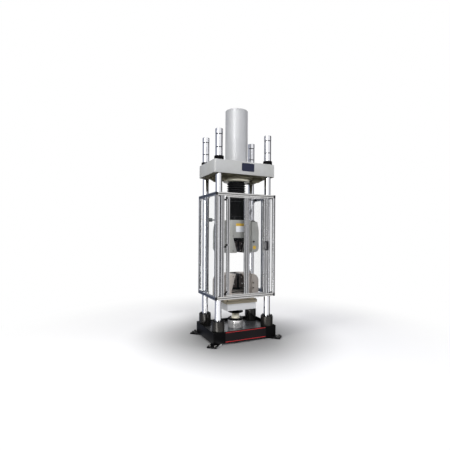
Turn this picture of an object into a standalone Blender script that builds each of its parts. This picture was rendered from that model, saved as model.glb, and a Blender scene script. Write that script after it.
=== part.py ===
"""Four-column universal testing machine with its hydraulic cylinder on top.

Metres, +Z up. The origin is on the floor, under the middle of the machine.
+X is to the right for someone who stands in front, and the front faces -Y.
"""

import math

import bmesh
import bpy
from mathutils import Matrix

# Fits
FIT = 0.0003
ROUND_STEPS = 20
LARGE_STEPS = 32
SHARP_ANGLE = math.radians(30)
ROUND_SIDE_ANGLE = math.radians(60)

# Columns
COLUMN_X = 0.373
COLUMN_Y = 0.2425
COLUMN_RADIUS = 0.045
COLUMN_SHOULDER = 0.0075
THREAD_ABOVE_BEAM = 0.369
SOCKET_DEPTH = 0.078

# Collars, rings and nuts on the columns
COLLAR_WALL = 0.041
COLLAR_HEIGHT = 0.1727
COLLAR_EDGE = 0.004
BOLT_COUNT = 8
BOLT_HEAD_RADIUS = 0.012
BOLT_HEAD_HEIGHT = 0.015
BOLT_SIDES = 8
NUT_WALL = 0.0125
NUT_CAP_LIP = 0.0015
NUT_HEIGHT = 0.407
NUT_FLOOR = 0.033
NUT_EDGE = 0.004
NUT_GROOVES = (0.161, 0.333)
GROOVE_WIDTH = 0.005
GROOVE_DEPTH = 0.0018
RING_WALL = 0.014
RING_HEIGHT = 0.049
RING_EDGE = 0.004

# Base: skirt, base plate and feet
FOOT_THICKNESS = 0.022
FOOT_LENGTH = 0.210
FOOT_WIDTH = 0.132
FOOT_REACH = 0.070
FOOT_EDGE = 0.003
BASE_PLATE_THICKNESS = 0.1077
SKIRT_LIP = 0.046
SKIRT_WALL = 0.0035
SKIRT_CORNER = 0.010
SKIRT_GAP_X = 0.0085
SKIRT_GAP_Y = 0.001

# Top crosshead
BEAM_CLEARANCE = 2.125
BEAM_THICKNESS = 0.176
BEAM_BORDER_X = 0.085
BEAM_BORDER_Y = 0.0575
BEAM_CORNER = 0.028
BEAM_EDGE = 0.004
COUNTERBORE_WALL = 0.007
COUNTERBORE_DEPTH = 0.020
BOSS_BORDER = 0.047
BOSS_DEPTH = 0.0297
RIB_PITCH = 0.100
RIB_THICKNESS = 0.024
RIB_DEPTH = 0.065
RIB_END_DEPTH = 0.028
RIB_FLAT = 0.100
RIB_SLOPE = 0.070

# Cylinder, cover, gland, rod and bellows
ROD_RADIUS = 0.085
PISTON_BORDER = 0.025
PISTON_THICKNESS = 0.100
PISTON_CLEARANCE = 0.175
CYLINDER_WALL = 0.030
CYLINDER_HEIGHT = 0.619
CYLINDER_CROWN = 0.040
FLANGE_BORDER = 0.013
FLANGE_THICKNESS = 0.030
COVER_CLEARANCE = 0.003
COVER_WALL = 0.004
COVER_TOP_WALL = 0.006
COVER_HEADROOM = 0.144
COVER_EDGE = 0.004
GLAND_BORDER = 0.048
GLAND_THICKNESS = 0.035
GLAND_SPIGOT = 0.100
GLAND_EDGE = 0.003
BELLOWS_HEIGHT = 0.2131
BELLOWS_CLEARANCE = 0.019
BELLOWS_WALL = 0.006
PLEAT_DEPTH = 0.023
PLEAT_COUNT = 6
CLAMP_BAND_LIP = 0.005
CLAMP_BAND_HEIGHT = 0.030
ADAPTOR_WALL = 0.040
ADAPTOR_HEIGHT = 0.2987
ADAPTOR_SOCKET = 0.146
ADAPTOR_EDGE = 0.006

# Grips: the two bodies have one plan, and each has a wedge pocket
GRIP_HALF_X = 0.195
GRIP_HALF_Y = 0.150
GRIP_CORNER_X = 0.065
GRIP_CORNER_Y = 0.055
GRIP_EDGE = 0.004
POCKET_BACK_WALL = 0.012
WEDGE_ANGLE = math.radians(15)
UPPER_GRIP_HEIGHT = 0.457
UPPER_POCKET_DEPTH = 0.207
UPPER_POCKET_HALF = 0.110
LOWER_GRIP_HEIGHT = 0.3527
LOWER_POCKET_DEPTH = 0.257
LOWER_POCKET_HALF = 0.140
JAW_HALF_GAP = 0.018
JAW_HALF_Y = 0.075
JAW_RECESS = 0.005
UPPER_JAW_HEIGHT = 0.150
LOWER_JAW_HEIGHT = 0.190
JAW_EDGE = 0.0015
HOUSING_REACH = 0.115
HOUSING_HALF_Y = 0.120
HOUSING_EDGE = 0.010
HOUSING_TAPER = 0.025
HOUSING_TAPER_HEIGHT = 0.132
UPPER_HOUSING_INSET = 0.015
UPPER_HOUSING_RISE = 0.006
UPPER_HOUSING_TOP_ROUND = 0.020
UPPER_HOUSING_BOTTOM_ROUND = 0.060
LOWER_HOUSING_INSET = 0.010
LOWER_HOUSING_RISE = 0.0097
LOWER_HOUSING_TOP_ROUND = 0.100
LOWER_HOUSING_BOTTOM_ROUND = 0.035
ARC_POINTS = 6

# Load train under the lower grip, from the base plate up
LOAD_CELL_RADIUS = 0.108
LOAD_CELL_HEIGHT = 0.1057
CELL_FLANGE_RADIUS = 0.110
CELL_FLANGE_THICKNESS = 0.0217
NECK_RADIUS = 0.060
NECK_HEIGHT = 0.0847
DISC_RADIUS = 0.108
DISC_THICKNESS = 0.0117
HUB_RADIUS = 0.0465
HUB_HEIGHT = 0.049
PEDESTAL_HALF_X = 0.222
PEDESTAL_HALF_Y = 0.200
PEDESTAL_HEIGHT = 0.0957
GRIP_FLANGE_HALF_X = 0.235
GRIP_FLANGE_HALF_Y = 0.210
GRIP_FLANGE_THICKNESS = 0.0417
TRAIN_EDGE = 0.003

# Guard round the test space
GUARD_BOTTOM = 0.590
GUARD_HEIGHT = 1.407
GUARD_GAP_SIDE = 0.004
GUARD_GAP_FRONT = 0.0135
GUARD_GAP_REAR = 0.0325
PROFILE_DEPTH = 0.030
BOTTOM_RAIL = 0.044
TOP_RAIL = 0.042
POST_WIDTH = 0.040
FRONT_END_STILE = 0.010
SIDE_MULLION = 0.040
COLUMN_CLAMP_WALL = 0.011
COLUMN_CLAMP_HEIGHT = 0.030
COLUMN_CLAMP_INSET = 0.002
PANE_THICKNESS = 0.003
PANE_LAP = 0.009
DOOR_LEFT = -0.294
DOOR_WIDTH = 0.604
DOOR_STILE = 0.044
DOOR_MULLION_START = 0.264
DOOR_MULLION_WIDTH = 0.065
DOOR_RAIL = 0.014
DOOR_GAP = 0.005
DOOR_PANE_THICKNESS = 0.004
HINGE_GAP = 0.032
HINGE_STILE = 0.049
LATCH_STILE = 0.034
HINGE_PROUD = 0.006
HINGE_INSET = 0.040
HINGE_LENGTH = 0.048
HINGE_NAMES = ("bottom", "middle", "top")
KNUCKLE_RADIUS = 0.0055
HINGE_PIN_RADIUS = 0.0028
HINGE_PIN_FIT = 0.00008
LEAF_THICKNESS = 0.003
LEAF_REACH = 0.030
HINGE_STEPS = 16
HANDLE_RISE = 0.641
HANDLE_LENGTH = 0.124
HANDLE_WIDTH = 0.030
HANDLE_INSET = 0.004
HANDLE_PROUD = 0.034
HANDLE_BAR = 0.012
KEEPER_PROUD = 0.016

# Blank plates
NAMEPLATE_LEFT = -0.064
NAMEPLATE_WIDTH = 0.191
NAMEPLATE_RISE = 0.046
NAMEPLATE_HEIGHT = 0.110
NAMEPLATE_THICKNESS = 0.002
LABEL_HALF_X = 0.305
LABEL_BORDER = 0.006
LABEL_HEIGHT = 0.138
LABEL_THICKNESS = 0.0015

# Radii that follow
THREAD_RADIUS = COLUMN_RADIUS - COLUMN_SHOULDER
COLLAR_RADIUS = COLUMN_RADIUS + COLLAR_WALL
BOLT_CIRCLE = (COLUMN_RADIUS + COLLAR_RADIUS) / 2
NUT_RADIUS = THREAD_RADIUS + NUT_WALL
NUT_CAP_RADIUS = NUT_RADIUS + NUT_CAP_LIP
RING_RADIUS = NUT_RADIUS + RING_WALL
COUNTERBORE_RADIUS = COLUMN_RADIUS + COUNTERBORE_WALL
COLUMN_CLAMP_RADIUS = COLUMN_RADIUS + COLUMN_CLAMP_WALL
CYLINDER_BORE = ROD_RADIUS + PISTON_BORDER
CYLINDER_RADIUS = CYLINDER_BORE + CYLINDER_WALL
FLANGE_RADIUS = CYLINDER_RADIUS + FLANGE_BORDER
COVER_RADIUS = FLANGE_RADIUS + COVER_CLEARANCE + COVER_WALL
GLAND_RADIUS = CYLINDER_RADIUS + GLAND_BORDER
BOSS_RADIUS = GLAND_RADIUS + BOSS_BORDER
BELLOWS_BORE = ROD_RADIUS + BELLOWS_CLEARANCE
BELLOWS_ROOT_RADIUS = BELLOWS_BORE + BELLOWS_WALL
BELLOWS_RADIUS = BELLOWS_ROOT_RADIUS + PLEAT_DEPTH
ADAPTOR_RADIUS = ROD_RADIUS + ADAPTOR_WALL
CLAMP_BAND_RADIUS = ADAPTOR_RADIUS + CLAMP_BAND_LIP

# Levels that follow, from the floor up to the lower grip
BASE_BOTTOM = FOOT_THICKNESS + FIT
BASE_PLATE_TOP = BASE_BOTTOM + BASE_PLATE_THICKNESS
SKIRT_TOP = BASE_PLATE_TOP + SKIRT_LIP
COLLAR_TOP = BASE_PLATE_TOP + FIT + COLLAR_HEIGHT
LOAD_CELL_TOP = BASE_PLATE_TOP + FIT + LOAD_CELL_HEIGHT
CELL_FLANGE_TOP = LOAD_CELL_TOP + FIT + CELL_FLANGE_THICKNESS
NECK_TOP = CELL_FLANGE_TOP + FIT + NECK_HEIGHT
DISC_TOP = NECK_TOP + FIT + DISC_THICKNESS
HUB_TOP = DISC_TOP + HUB_HEIGHT
PEDESTAL_TOP = HUB_TOP + FIT + PEDESTAL_HEIGHT
GRIP_FLANGE_TOP = PEDESTAL_TOP + FIT + GRIP_FLANGE_THICKNESS
LOWER_GRIP_BOTTOM = GRIP_FLANGE_TOP + FIT
LOWER_GRIP_TOP = LOWER_GRIP_BOTTOM + LOWER_GRIP_HEIGHT

# Levels that follow, from the crosshead up and down
BEAM_BOTTOM = BASE_PLATE_TOP + BEAM_CLEARANCE
BEAM_TOP = BEAM_BOTTOM + BEAM_THICKNESS
SEAT_HEIGHT = BEAM_BOTTOM + COUNTERBORE_DEPTH
ABOVE_BEAM = BEAM_TOP + FIT
THREAD_TOP = BEAM_TOP + THREAD_ABOVE_BEAM
CYLINDER_TOP = BEAM_TOP + CYLINDER_HEIGHT
COVER_TOP = CYLINDER_TOP + COVER_HEADROOM + COVER_TOP_WALL
GLAND_TOP = BEAM_BOTTOM - BOSS_DEPTH - FIT
GLAND_BOTTOM = GLAND_TOP - GLAND_THICKNESS
PISTON_BOTTOM = GLAND_TOP + GLAND_SPIGOT + PISTON_CLEARANCE
BELLOWS_TOP = GLAND_BOTTOM - FIT
BELLOWS_BOTTOM = BELLOWS_TOP - BELLOWS_HEIGHT
CLAMP_BAND_TOP = BELLOWS_BOTTOM - FIT
ADAPTOR_TOP = CLAMP_BAND_TOP - CLAMP_BAND_HEIGHT - FIT
ADAPTOR_BOTTOM = ADAPTOR_TOP - ADAPTOR_HEIGHT
UPPER_GRIP_TOP = ADAPTOR_BOTTOM - FIT
UPPER_GRIP_BOTTOM = UPPER_GRIP_TOP - UPPER_GRIP_HEIGHT

# Widths and depths that follow
BASE_HALF_X = COLUMN_X + COLLAR_RADIUS + SKIRT_GAP_X + SKIRT_WALL
BASE_HALF_Y = COLUMN_Y + COLLAR_RADIUS + SKIRT_GAP_Y + SKIRT_WALL
BEAM_HALF_X = COLUMN_X + BEAM_BORDER_X
BEAM_HALF_Y = COLUMN_Y + BEAM_BORDER_Y
GUARD_TOP = GUARD_BOTTOM + GUARD_HEIGHT
GUARD_HALF_X = COLUMN_X + COLUMN_RADIUS + GUARD_GAP_SIDE + PROFILE_DEPTH
GUARD_FRONT = -(COLUMN_Y + COLUMN_RADIUS + GUARD_GAP_FRONT + PROFILE_DEPTH)
GUARD_REAR = COLUMN_Y + COLUMN_RADIUS + GUARD_GAP_REAR
GUARD_SILL = GUARD_BOTTOM + BOTTOM_RAIL
GUARD_HEAD = GUARD_TOP - TOP_RAIL
DOOR_RIGHT = DOOR_LEFT + DOOR_WIDTH
DOOR_BOTTOM = GUARD_SILL + DOOR_GAP
DOOR_TOP = GUARD_HEAD - DOOR_GAP
HINGE_X = DOOR_LEFT - HINGE_GAP / 2
HINGE_STILE_RIGHT = DOOR_LEFT - HINGE_GAP
LATCH_STILE_LEFT = DOOR_RIGHT + DOOR_GAP
HANDLE_BOTTOM = GUARD_BOTTOM + HANDLE_RISE
HANDLE_TOP = HANDLE_BOTTOM + HANDLE_LENGTH
HOUSING_HALF_X = GRIP_HALF_X + HOUSING_REACH
COLUMN_SIDES = {
    "front_left": (-1, -1),
    "front_right": (1, -1),
    "rear_left": (-1, 1),
    "rear_right": (1, 1),
}
SIDES = {"left": -1, "right": 1}

FINISHES = {
    "black_paint": ((0.012, 0.012, 0.014, 1), 0.42, 0.0),
    "plate_grey": ((0.060, 0.062, 0.066, 1), 0.30, 0.0),
    "chrome": ((0.78, 0.79, 0.82, 1), 0.12, 1.0),
    "dark_steel": ((0.045, 0.044, 0.045, 1), 0.35, 0.7),
    "beige_paint": ((0.52, 0.51, 0.47, 1), 0.40, 0.0),
    "silver_paint": ((0.60, 0.60, 0.60, 1), 0.30, 0.4),
    "cream_paint": ((0.72, 0.69, 0.56, 1), 0.40, 0.0),
    "grip_grey": ((0.30, 0.29, 0.25, 1), 0.45, 0.0),
    "grip_beige": ((0.36, 0.32, 0.29, 1), 0.45, 0.0),
    "jaw_steel": ((0.05, 0.045, 0.042, 1), 0.40, 0.8),
    "off_white": ((0.68, 0.69, 0.70, 1), 0.40, 0.0),
    "bright_steel": ((0.62, 0.62, 0.62, 1), 0.25, 1.0),
    "bellows_rubber": ((0.010, 0.010, 0.011, 1), 0.55, 0.0),
    "aluminium": ((0.66, 0.67, 0.69, 1), 0.32, 0.9),
    "clear_panel": ((0.90, 0.92, 0.93, 0.2), 0.05, 0.0),
    "navy_plate": ((0.016, 0.018, 0.040, 1), 0.35, 0.0),
    "label_black": ((0.014, 0.012, 0.012, 1), 0.45, 0.0),
}

machine = None
cutters = None


def clear_scene():
    """Remove what the scene holds and make the two collections."""
    global machine, cutters
    for obj in list(bpy.data.objects):
        bpy.data.objects.remove(obj, do_unlink=True)
    machine = bpy.data.collections.new("universal_testing_machine")
    cutters = bpy.data.collections.new("cutters")
    bpy.context.scene.collection.children.link(machine)
    bpy.context.scene.collection.children.link(cutters)


def finish(piece_name, finish_name):
    """A piece's own Principled material in one of the machine's finishes."""
    colour, roughness, metallic = FINISHES[finish_name]
    made = bpy.data.materials.new(piece_name + "_finish")
    made.use_nodes = True
    made.diffuse_color = colour
    shader = made.node_tree.nodes["Principled BSDF"]
    shader.inputs["Base Color"].default_value = colour
    shader.inputs["Roughness"].default_value = roughness
    shader.inputs["Metallic"].default_value = metallic
    shader.inputs["Alpha"].default_value = colour[3]
    return made


def place(name, mesh, finish_name, location):
    """Link a mesh as a named piece, or as a guide where it has no finish."""
    obj = bpy.data.objects.new(name, mesh)
    obj.location = location
    if finish_name is None:
        obj.display_type = "WIRE"
        obj.hide_render = True
        cutters.objects.link(obj)
    else:
        mesh.materials.clear()
        mesh.materials.append(finish(name, finish_name))
        machine.objects.link(obj)
    return obj


def block(name, low, high, finish_name=None, edge=0.0):
    """A box between two corners, with its edges rounded where edge is set."""
    size = [b - a for a, b in zip(low, high)]
    centre = [(a + b) / 2 for a, b in zip(low, high)]
    shape = bmesh.new()
    bmesh.ops.create_cube(shape, size=1.0)
    bmesh.ops.transform(shape, matrix=Matrix.Diagonal((*size, 1.0)), verts=shape.verts)
    mesh = bpy.data.meshes.new(name)
    shape.to_mesh(mesh)
    shape.free()
    obj = place(name, mesh, finish_name, centre)
    if edge:
        round_edges(obj, edge)
    return obj


def round_edges(obj, width, segments=2):
    """Bevel the edges sharper than 30 degrees."""
    bevel = obj.modifiers.new("rounded edges", "BEVEL")
    bevel.width = width
    bevel.segments = segments
    bevel.limit_method = "ANGLE"
    bevel.angle_limit = SHARP_ANGLE
    bevel.use_clamp_overlap = True
    return bevel


def turned(name, profile, finish_name=None, location=(0, 0, 0), steps=ROUND_STEPS, ring=False):
    """Turn a profile of (radius, height) points, from its top down its outer side."""
    shape = bmesh.new()
    points = [shape.verts.new((radius, 0, height)) for radius, height in profile]
    for start, end in zip(points, points[1:]):
        shape.edges.new((start, end))
    if ring:
        shape.edges.new((points[-1], points[0]))
    mesh = bpy.data.meshes.new(name)
    shape.to_mesh(mesh)
    shape.free()
    obj = place(name, mesh, finish_name, location)
    turn = obj.modifiers.new("turned", "SCREW")
    turn.axis = "Z"
    turn.steps = steps
    turn.render_steps = steps
    turn.use_merge_vertices = True
    turn.merge_threshold = 0.00001
    return obj


def rod_profile(radius, bottom, top, edge=0.0):
    """Profile of a plain round bar, with its rims chamfered where edge is set."""
    if not edge:
        return [(0, top), (radius, top), (radius, bottom), (0, bottom)]
    return [
        (0, top),
        (radius - edge, top),
        (radius, top - edge),
        (radius, bottom + edge),
        (radius - edge, bottom),
        (0, bottom),
    ]


def ring_profile(inner, outer, bottom, top, edge=0.0):
    """Profile of a ring, closed, with its outer rims chamfered where edge is set."""
    if not edge:
        return [(inner, top), (outer, top), (outer, bottom), (inner, bottom)]
    return [
        (inner, top),
        (outer - edge, top),
        (outer, top - edge),
        (outer, bottom + edge),
        (outer - edge, bottom),
        (inner, bottom),
    ]


def rounded(corners):
    """An outline from (x, y, radius) corners, each radius drawn as an arc."""
    points = []
    count = len(corners)
    for index, (x, y, radius) in enumerate(corners):
        if radius <= 0:
            points.append((x, y))
            continue
        before = corners[index - 1]
        after = corners[(index + 1) % count]
        first = math.atan2(before[1] - y, before[0] - x)
        last = math.atan2(after[1] - y, after[0] - x)
        opening = (last - first + math.pi) % (2 * math.pi) - math.pi
        reach = radius / math.tan(abs(opening) / 2)
        start = (x + reach * math.cos(first), y + reach * math.sin(first))
        middle = first + opening / 2
        away = radius / math.sin(abs(opening) / 2)
        centre = (x + away * math.cos(middle), y + away * math.sin(middle))
        begin = math.atan2(start[1] - centre[1], start[0] - centre[0])
        sweep = math.copysign(math.pi - abs(opening), -opening)
        for step in range(ARC_POINTS + 1):
            angle = begin + sweep * step / ARC_POINTS
            points.append((centre[0] + radius * math.cos(angle), centre[1] + radius * math.sin(angle)))
    return points


def rectangle(low_x, high_x, low_y, high_y, radius=0.0):
    """A rectangle's outline, with round corners where radius is set."""
    corners = [(low_x, low_y), (high_x, low_y), (high_x, high_y), (low_x, high_y)]
    return rounded([(x, y, radius) for x, y in corners])


PLANES = {
    "XY": Matrix.Identity(4),
    "XZ": Matrix.Rotation(math.pi / 2, 4, "X"),
    "YZ": Matrix.Rotation(math.pi / 2, 4, "Z") @ Matrix.Rotation(math.pi / 2, 4, "X"),
}


def plate(name, outlines, thickness, middle, plane="XY", finish_name=None):
    """A flat piece cut from its outer outline, less any further outlines inside it.

    The outline lies in the plane that is named, and middle is where the
    plate's mid surface crosses the third axis.
    """
    curve = bpy.data.curves.new(name, "CURVE")
    curve.dimensions = "2D"
    curve.fill_mode = "BOTH"
    curve.extrude = thickness / 2
    for outline in outlines:
        spline = curve.splines.new("POLY")
        spline.points.add(len(outline) - 1)
        for point, (x, y) in zip(spline.points, outline):
            point.co = (x, y, 0, 1)
        spline.use_cyclic_u = True
    drawn = bpy.data.objects.new(name + "_outline", curve)
    cutters.objects.link(drawn)
    bpy.context.view_layer.update()
    seen = drawn.evaluated_get(bpy.context.evaluated_depsgraph_get())
    mesh = bpy.data.meshes.new_from_object(seen)
    bpy.data.objects.remove(drawn, do_unlink=True)
    mesh.name = name
    shape = bmesh.new()
    shape.from_mesh(mesh)
    bmesh.ops.remove_doubles(shape, verts=shape.verts, dist=0.00001)
    if len(outlines) == 1:
        bmesh.ops.dissolve_limit(shape, angle_limit=0.001, verts=shape.verts, edges=shape.edges)
    bmesh.ops.transform(shape, matrix=PLANES[plane], verts=shape.verts)
    bmesh.ops.recalc_face_normals(shape, faces=shape.faces)
    shape.to_mesh(mesh)
    shape.free()
    location = {"XY": (0, 0, middle), "XZ": (0, middle, 0), "YZ": (middle, 0, 0)}[plane]
    return place(name, mesh, finish_name, location)


def combine(obj, tool, operation):
    """Cut a guide from a piece, or join it on."""
    boolean = obj.modifiers.new(operation.lower() + " " + tool.name, "BOOLEAN")
    boolean.operation = operation
    boolean.solver = "EXACT"
    boolean.object = tool


def cut(obj, *tools):
    for tool in tools:
        combine(obj, tool, "DIFFERENCE")


def join(obj, *tools):
    for tool in tools:
        combine(obj, tool, "UNION")


def settle(obj):
    """Apply a piece's modifiers, then shade its round sides smooth and its rims sharp."""
    seen = obj.evaluated_get(bpy.context.evaluated_depsgraph_get())
    mesh = bpy.data.meshes.new_from_object(seen)
    obj.modifiers.clear()
    obj.data = mesh
    mesh.shade_smooth()
    mesh.set_sharp_from_angle(angle=SHARP_ANGLE)


def column_places():
    """Each column's corner name and where its axis stands."""
    for corner, (side_x, side_y) in COLUMN_SIDES.items():
        yield corner, (side_x * COLUMN_X, side_y * COLUMN_Y, 0)


def carried_on(name, location, pieces):
    """Parent moving pieces to an empty that stands on their joint's axis."""
    carrier = bpy.data.objects.new(name, None)
    carrier.location = location
    machine.objects.link(carrier)
    for piece in pieces:
        piece.parent = carrier
        piece.location = [a - b for a, b in zip(piece.location, location)]
    return carrier


def make_base():
    """Base plate with column sockets, the sheet skirt round it and four feet."""
    inner_x = BASE_HALF_X - SKIRT_WALL
    inner_y = BASE_HALF_Y - SKIRT_WALL
    skirt_height = SKIRT_TOP - BASE_BOTTOM
    outer = rectangle(-BASE_HALF_X, BASE_HALF_X, -BASE_HALF_Y, BASE_HALF_Y, SKIRT_CORNER)
    inner = rectangle(-inner_x, inner_x, -inner_y, inner_y, SKIRT_CORNER - SKIRT_WALL)
    plate("base_skirt", [outer, inner], skirt_height, BASE_BOTTOM + skirt_height / 2,
          finish_name="black_paint")
    slab_x = inner_x - FIT
    slab_y = inner_y - FIT
    slab_height = BASE_PLATE_TOP - BASE_BOTTOM
    slab_outline = rectangle(-slab_x, slab_x, -slab_y, slab_y, SKIRT_CORNER - SKIRT_WALL)
    slab = plate("base_plate", [slab_outline], slab_height, BASE_BOTTOM + slab_height / 2,
                 finish_name="plate_grey")
    floor = BASE_PLATE_TOP - SOCKET_DEPTH - FIT
    for corner, location in column_places():
        profile = rod_profile(COLUMN_RADIUS + FIT, floor, BASE_PLATE_TOP + SOCKET_DEPTH)
        cut(slab, turned("socket_cut_" + corner, profile, location=location))
    make_feet()


def make_feet():
    """Plates under the corners that reach out along the diagonals."""
    for corner, (side_x, side_y) in COLUMN_SIDES.items():
        low = (-FOOT_LENGTH / 2, -FOOT_WIDTH / 2, 0)
        high = (FOOT_LENGTH / 2, FOOT_WIDTH / 2, FOOT_THICKNESS)
        foot = block("foot_" + corner, low, high, "black_paint", FOOT_EDGE)
        along = (FOOT_REACH - FOOT_LENGTH / 2) / math.sqrt(2)
        foot.location.x = side_x * (BASE_HALF_X + along)
        foot.location.y = side_y * (BASE_HALF_Y + along)
        foot.rotation_euler.z = side_x * side_y * math.pi / 4


def make_columns():
    """Chrome columns, each with a bolted collar, a ring and a long nut."""
    for corner, location in column_places():
        shoulder = SEAT_HEIGHT - FIT
        column = [
            (0, THREAD_TOP),
            (THREAD_RADIUS, THREAD_TOP),
            (THREAD_RADIUS, shoulder),
            (COLUMN_RADIUS, shoulder),
            (COLUMN_RADIUS, BASE_PLATE_TOP - SOCKET_DEPTH),
            (0, BASE_PLATE_TOP - SOCKET_DEPTH),
        ]
        turned("column_" + corner, column, "chrome", location)
        make_collar(corner, location)
        make_nut(corner, location)


def make_collar(corner, location):
    """Bolted clamping collar at a column's foot."""
    profile = ring_profile(
        COLUMN_RADIUS + FIT, COLLAR_RADIUS, BASE_PLATE_TOP + FIT, COLLAR_TOP, COLLAR_EDGE)
    collar = turned("column_collar_" + corner, profile, "dark_steel", location, ring=True)
    for index in range(BOLT_COUNT):
        angle = 2 * math.pi * (index + 0.5) / BOLT_COUNT
        head = rod_profile(BOLT_HEAD_RADIUS, COLLAR_TOP - BOLT_HEAD_HEIGHT, COLLAR_TOP + BOLT_HEAD_HEIGHT)
        centre = (
            location[0] + BOLT_CIRCLE * math.cos(angle),
            location[1] + BOLT_CIRCLE * math.sin(angle),
            0,
        )
        join(collar, turned(f"bolt_{corner}_{index}", head, None, centre, BOLT_SIDES))


def make_nut(corner, location):
    """Long chrome nut that clamps the crosshead, with a black ring at its foot."""
    top = ABOVE_BEAM + NUT_HEIGHT
    outside = [(0, top), (NUT_CAP_RADIUS - NUT_EDGE, top), (NUT_CAP_RADIUS, top - NUT_EDGE)]
    radius = NUT_CAP_RADIUS
    for height in reversed(NUT_GROOVES):
        middle = ABOVE_BEAM + height
        outside += [
            (radius, middle + GROOVE_WIDTH / 2),
            (NUT_RADIUS - GROOVE_DEPTH, middle),
            (NUT_RADIUS, middle - GROOVE_WIDTH / 2),
        ]
        radius = NUT_RADIUS
    bore = THREAD_RADIUS + FIT
    inside = [
        (NUT_RADIUS, ABOVE_BEAM),
        (bore, ABOVE_BEAM),
        (bore, top - NUT_FLOOR),
        (0, top - NUT_FLOOR),
    ]
    turned("column_nut_" + corner, outside + inside, "chrome", location)
    profile = ring_profile(NUT_RADIUS + FIT, RING_RADIUS, ABOVE_BEAM, ABOVE_BEAM + RING_HEIGHT, RING_EDGE)
    turned("column_ring_" + corner, profile, "black_paint", location, ring=True)


def make_crosshead():
    """Top crosshead: slab, round boss and three ribs below, bored for what it holds."""
    outline = rectangle(-BEAM_HALF_X, BEAM_HALF_X, -BEAM_HALF_Y, BEAM_HALF_Y, BEAM_CORNER)
    slab = plate("top_crosshead", [outline], BEAM_THICKNESS, BEAM_BOTTOM + BEAM_THICKNESS / 2,
                 finish_name="beige_paint")
    round_edges(slab, BEAM_EDGE)
    inside = BEAM_BOTTOM + BEAM_THICKNESS / 4
    boss = rod_profile(BOSS_RADIUS, BEAM_BOTTOM - BOSS_DEPTH, inside)
    join(slab, turned("boss_shape", boss, steps=LARGE_STEPS))
    rib_start = GLAND_RADIUS + RIB_THICKNESS / 2
    rib_end = rib_start + RIB_FLAT + RIB_SLOPE
    for side in SIDES.values():
        rib = [
            (side * rib_start, inside),
            (side * rib_start, BEAM_BOTTOM - RIB_DEPTH),
            (side * (rib_start + RIB_FLAT), BEAM_BOTTOM - RIB_DEPTH),
            (side * rib_end, BEAM_BOTTOM - RIB_END_DEPTH),
            (side * rib_end, inside),
        ]
        for number in (-1, 0, 1):
            name = f"rib_shape_{side}_{number}"
            join(slab, plate(name, [rib], RIB_THICKNESS, number * RIB_PITCH, "XZ"))
    for corner, location in column_places():
        hole = [
            (0, BEAM_TOP + BEAM_THICKNESS),
            (THREAD_RADIUS + FIT, BEAM_TOP + BEAM_THICKNESS),
            (THREAD_RADIUS + FIT, SEAT_HEIGHT),
            (COUNTERBORE_RADIUS, SEAT_HEIGHT),
            (COUNTERBORE_RADIUS, BEAM_BOTTOM - BEAM_THICKNESS),
            (0, BEAM_BOTTOM - BEAM_THICKNESS),
        ]
        cut(slab, turned("column_hole_" + corner, hole, location=location))
    bore = rod_profile(CYLINDER_RADIUS + FIT, BEAM_BOTTOM - BEAM_THICKNESS, BEAM_TOP + BEAM_THICKNESS)
    cut(slab, turned("cylinder_hole", bore, steps=LARGE_STEPS))


def make_cylinder():
    """Cover, hydraulic cylinder and the gland that guides its rod."""
    inner = COVER_RADIUS - COVER_WALL
    cover = [
        (0, COVER_TOP),
        (COVER_RADIUS - COVER_EDGE, COVER_TOP),
        (COVER_RADIUS, COVER_TOP - COVER_EDGE),
        (COVER_RADIUS, ABOVE_BEAM),
        (inner, ABOVE_BEAM),
        (inner, COVER_TOP - COVER_TOP_WALL),
        (0, COVER_TOP - COVER_TOP_WALL),
    ]
    turned("cylinder_cover", cover, "silver_paint", steps=LARGE_STEPS)
    barrel = [
        (0, CYLINDER_TOP),
        (CYLINDER_RADIUS, CYLINDER_TOP),
        (CYLINDER_RADIUS, ABOVE_BEAM + FLANGE_THICKNESS),
        (FLANGE_RADIUS, ABOVE_BEAM + FLANGE_THICKNESS),
        (FLANGE_RADIUS, ABOVE_BEAM),
        (CYLINDER_RADIUS, ABOVE_BEAM),
        (CYLINDER_RADIUS, GLAND_TOP + FIT),
        (CYLINDER_BORE, GLAND_TOP + FIT),
        (CYLINDER_BORE, CYLINDER_TOP - CYLINDER_CROWN),
        (0, CYLINDER_TOP - CYLINDER_CROWN),
    ]
    turned("actuator_cylinder", barrel, "dark_steel", steps=LARGE_STEPS)
    spigot = CYLINDER_BORE - FIT
    rod_hole = ROD_RADIUS + FIT
    gland = [
        (rod_hole, GLAND_TOP + GLAND_SPIGOT),
        (spigot, GLAND_TOP + GLAND_SPIGOT),
        (spigot, GLAND_TOP),
        (GLAND_RADIUS - GLAND_EDGE, GLAND_TOP),
        (GLAND_RADIUS, GLAND_TOP - GLAND_EDGE),
        (GLAND_RADIUS, GLAND_BOTTOM + GLAND_EDGE),
        (GLAND_RADIUS - GLAND_EDGE, GLAND_BOTTOM),
        (rod_hole, GLAND_BOTTOM),
    ]
    turned("cylinder_gland", gland, "cream_paint", steps=LARGE_STEPS, ring=True)


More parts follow.
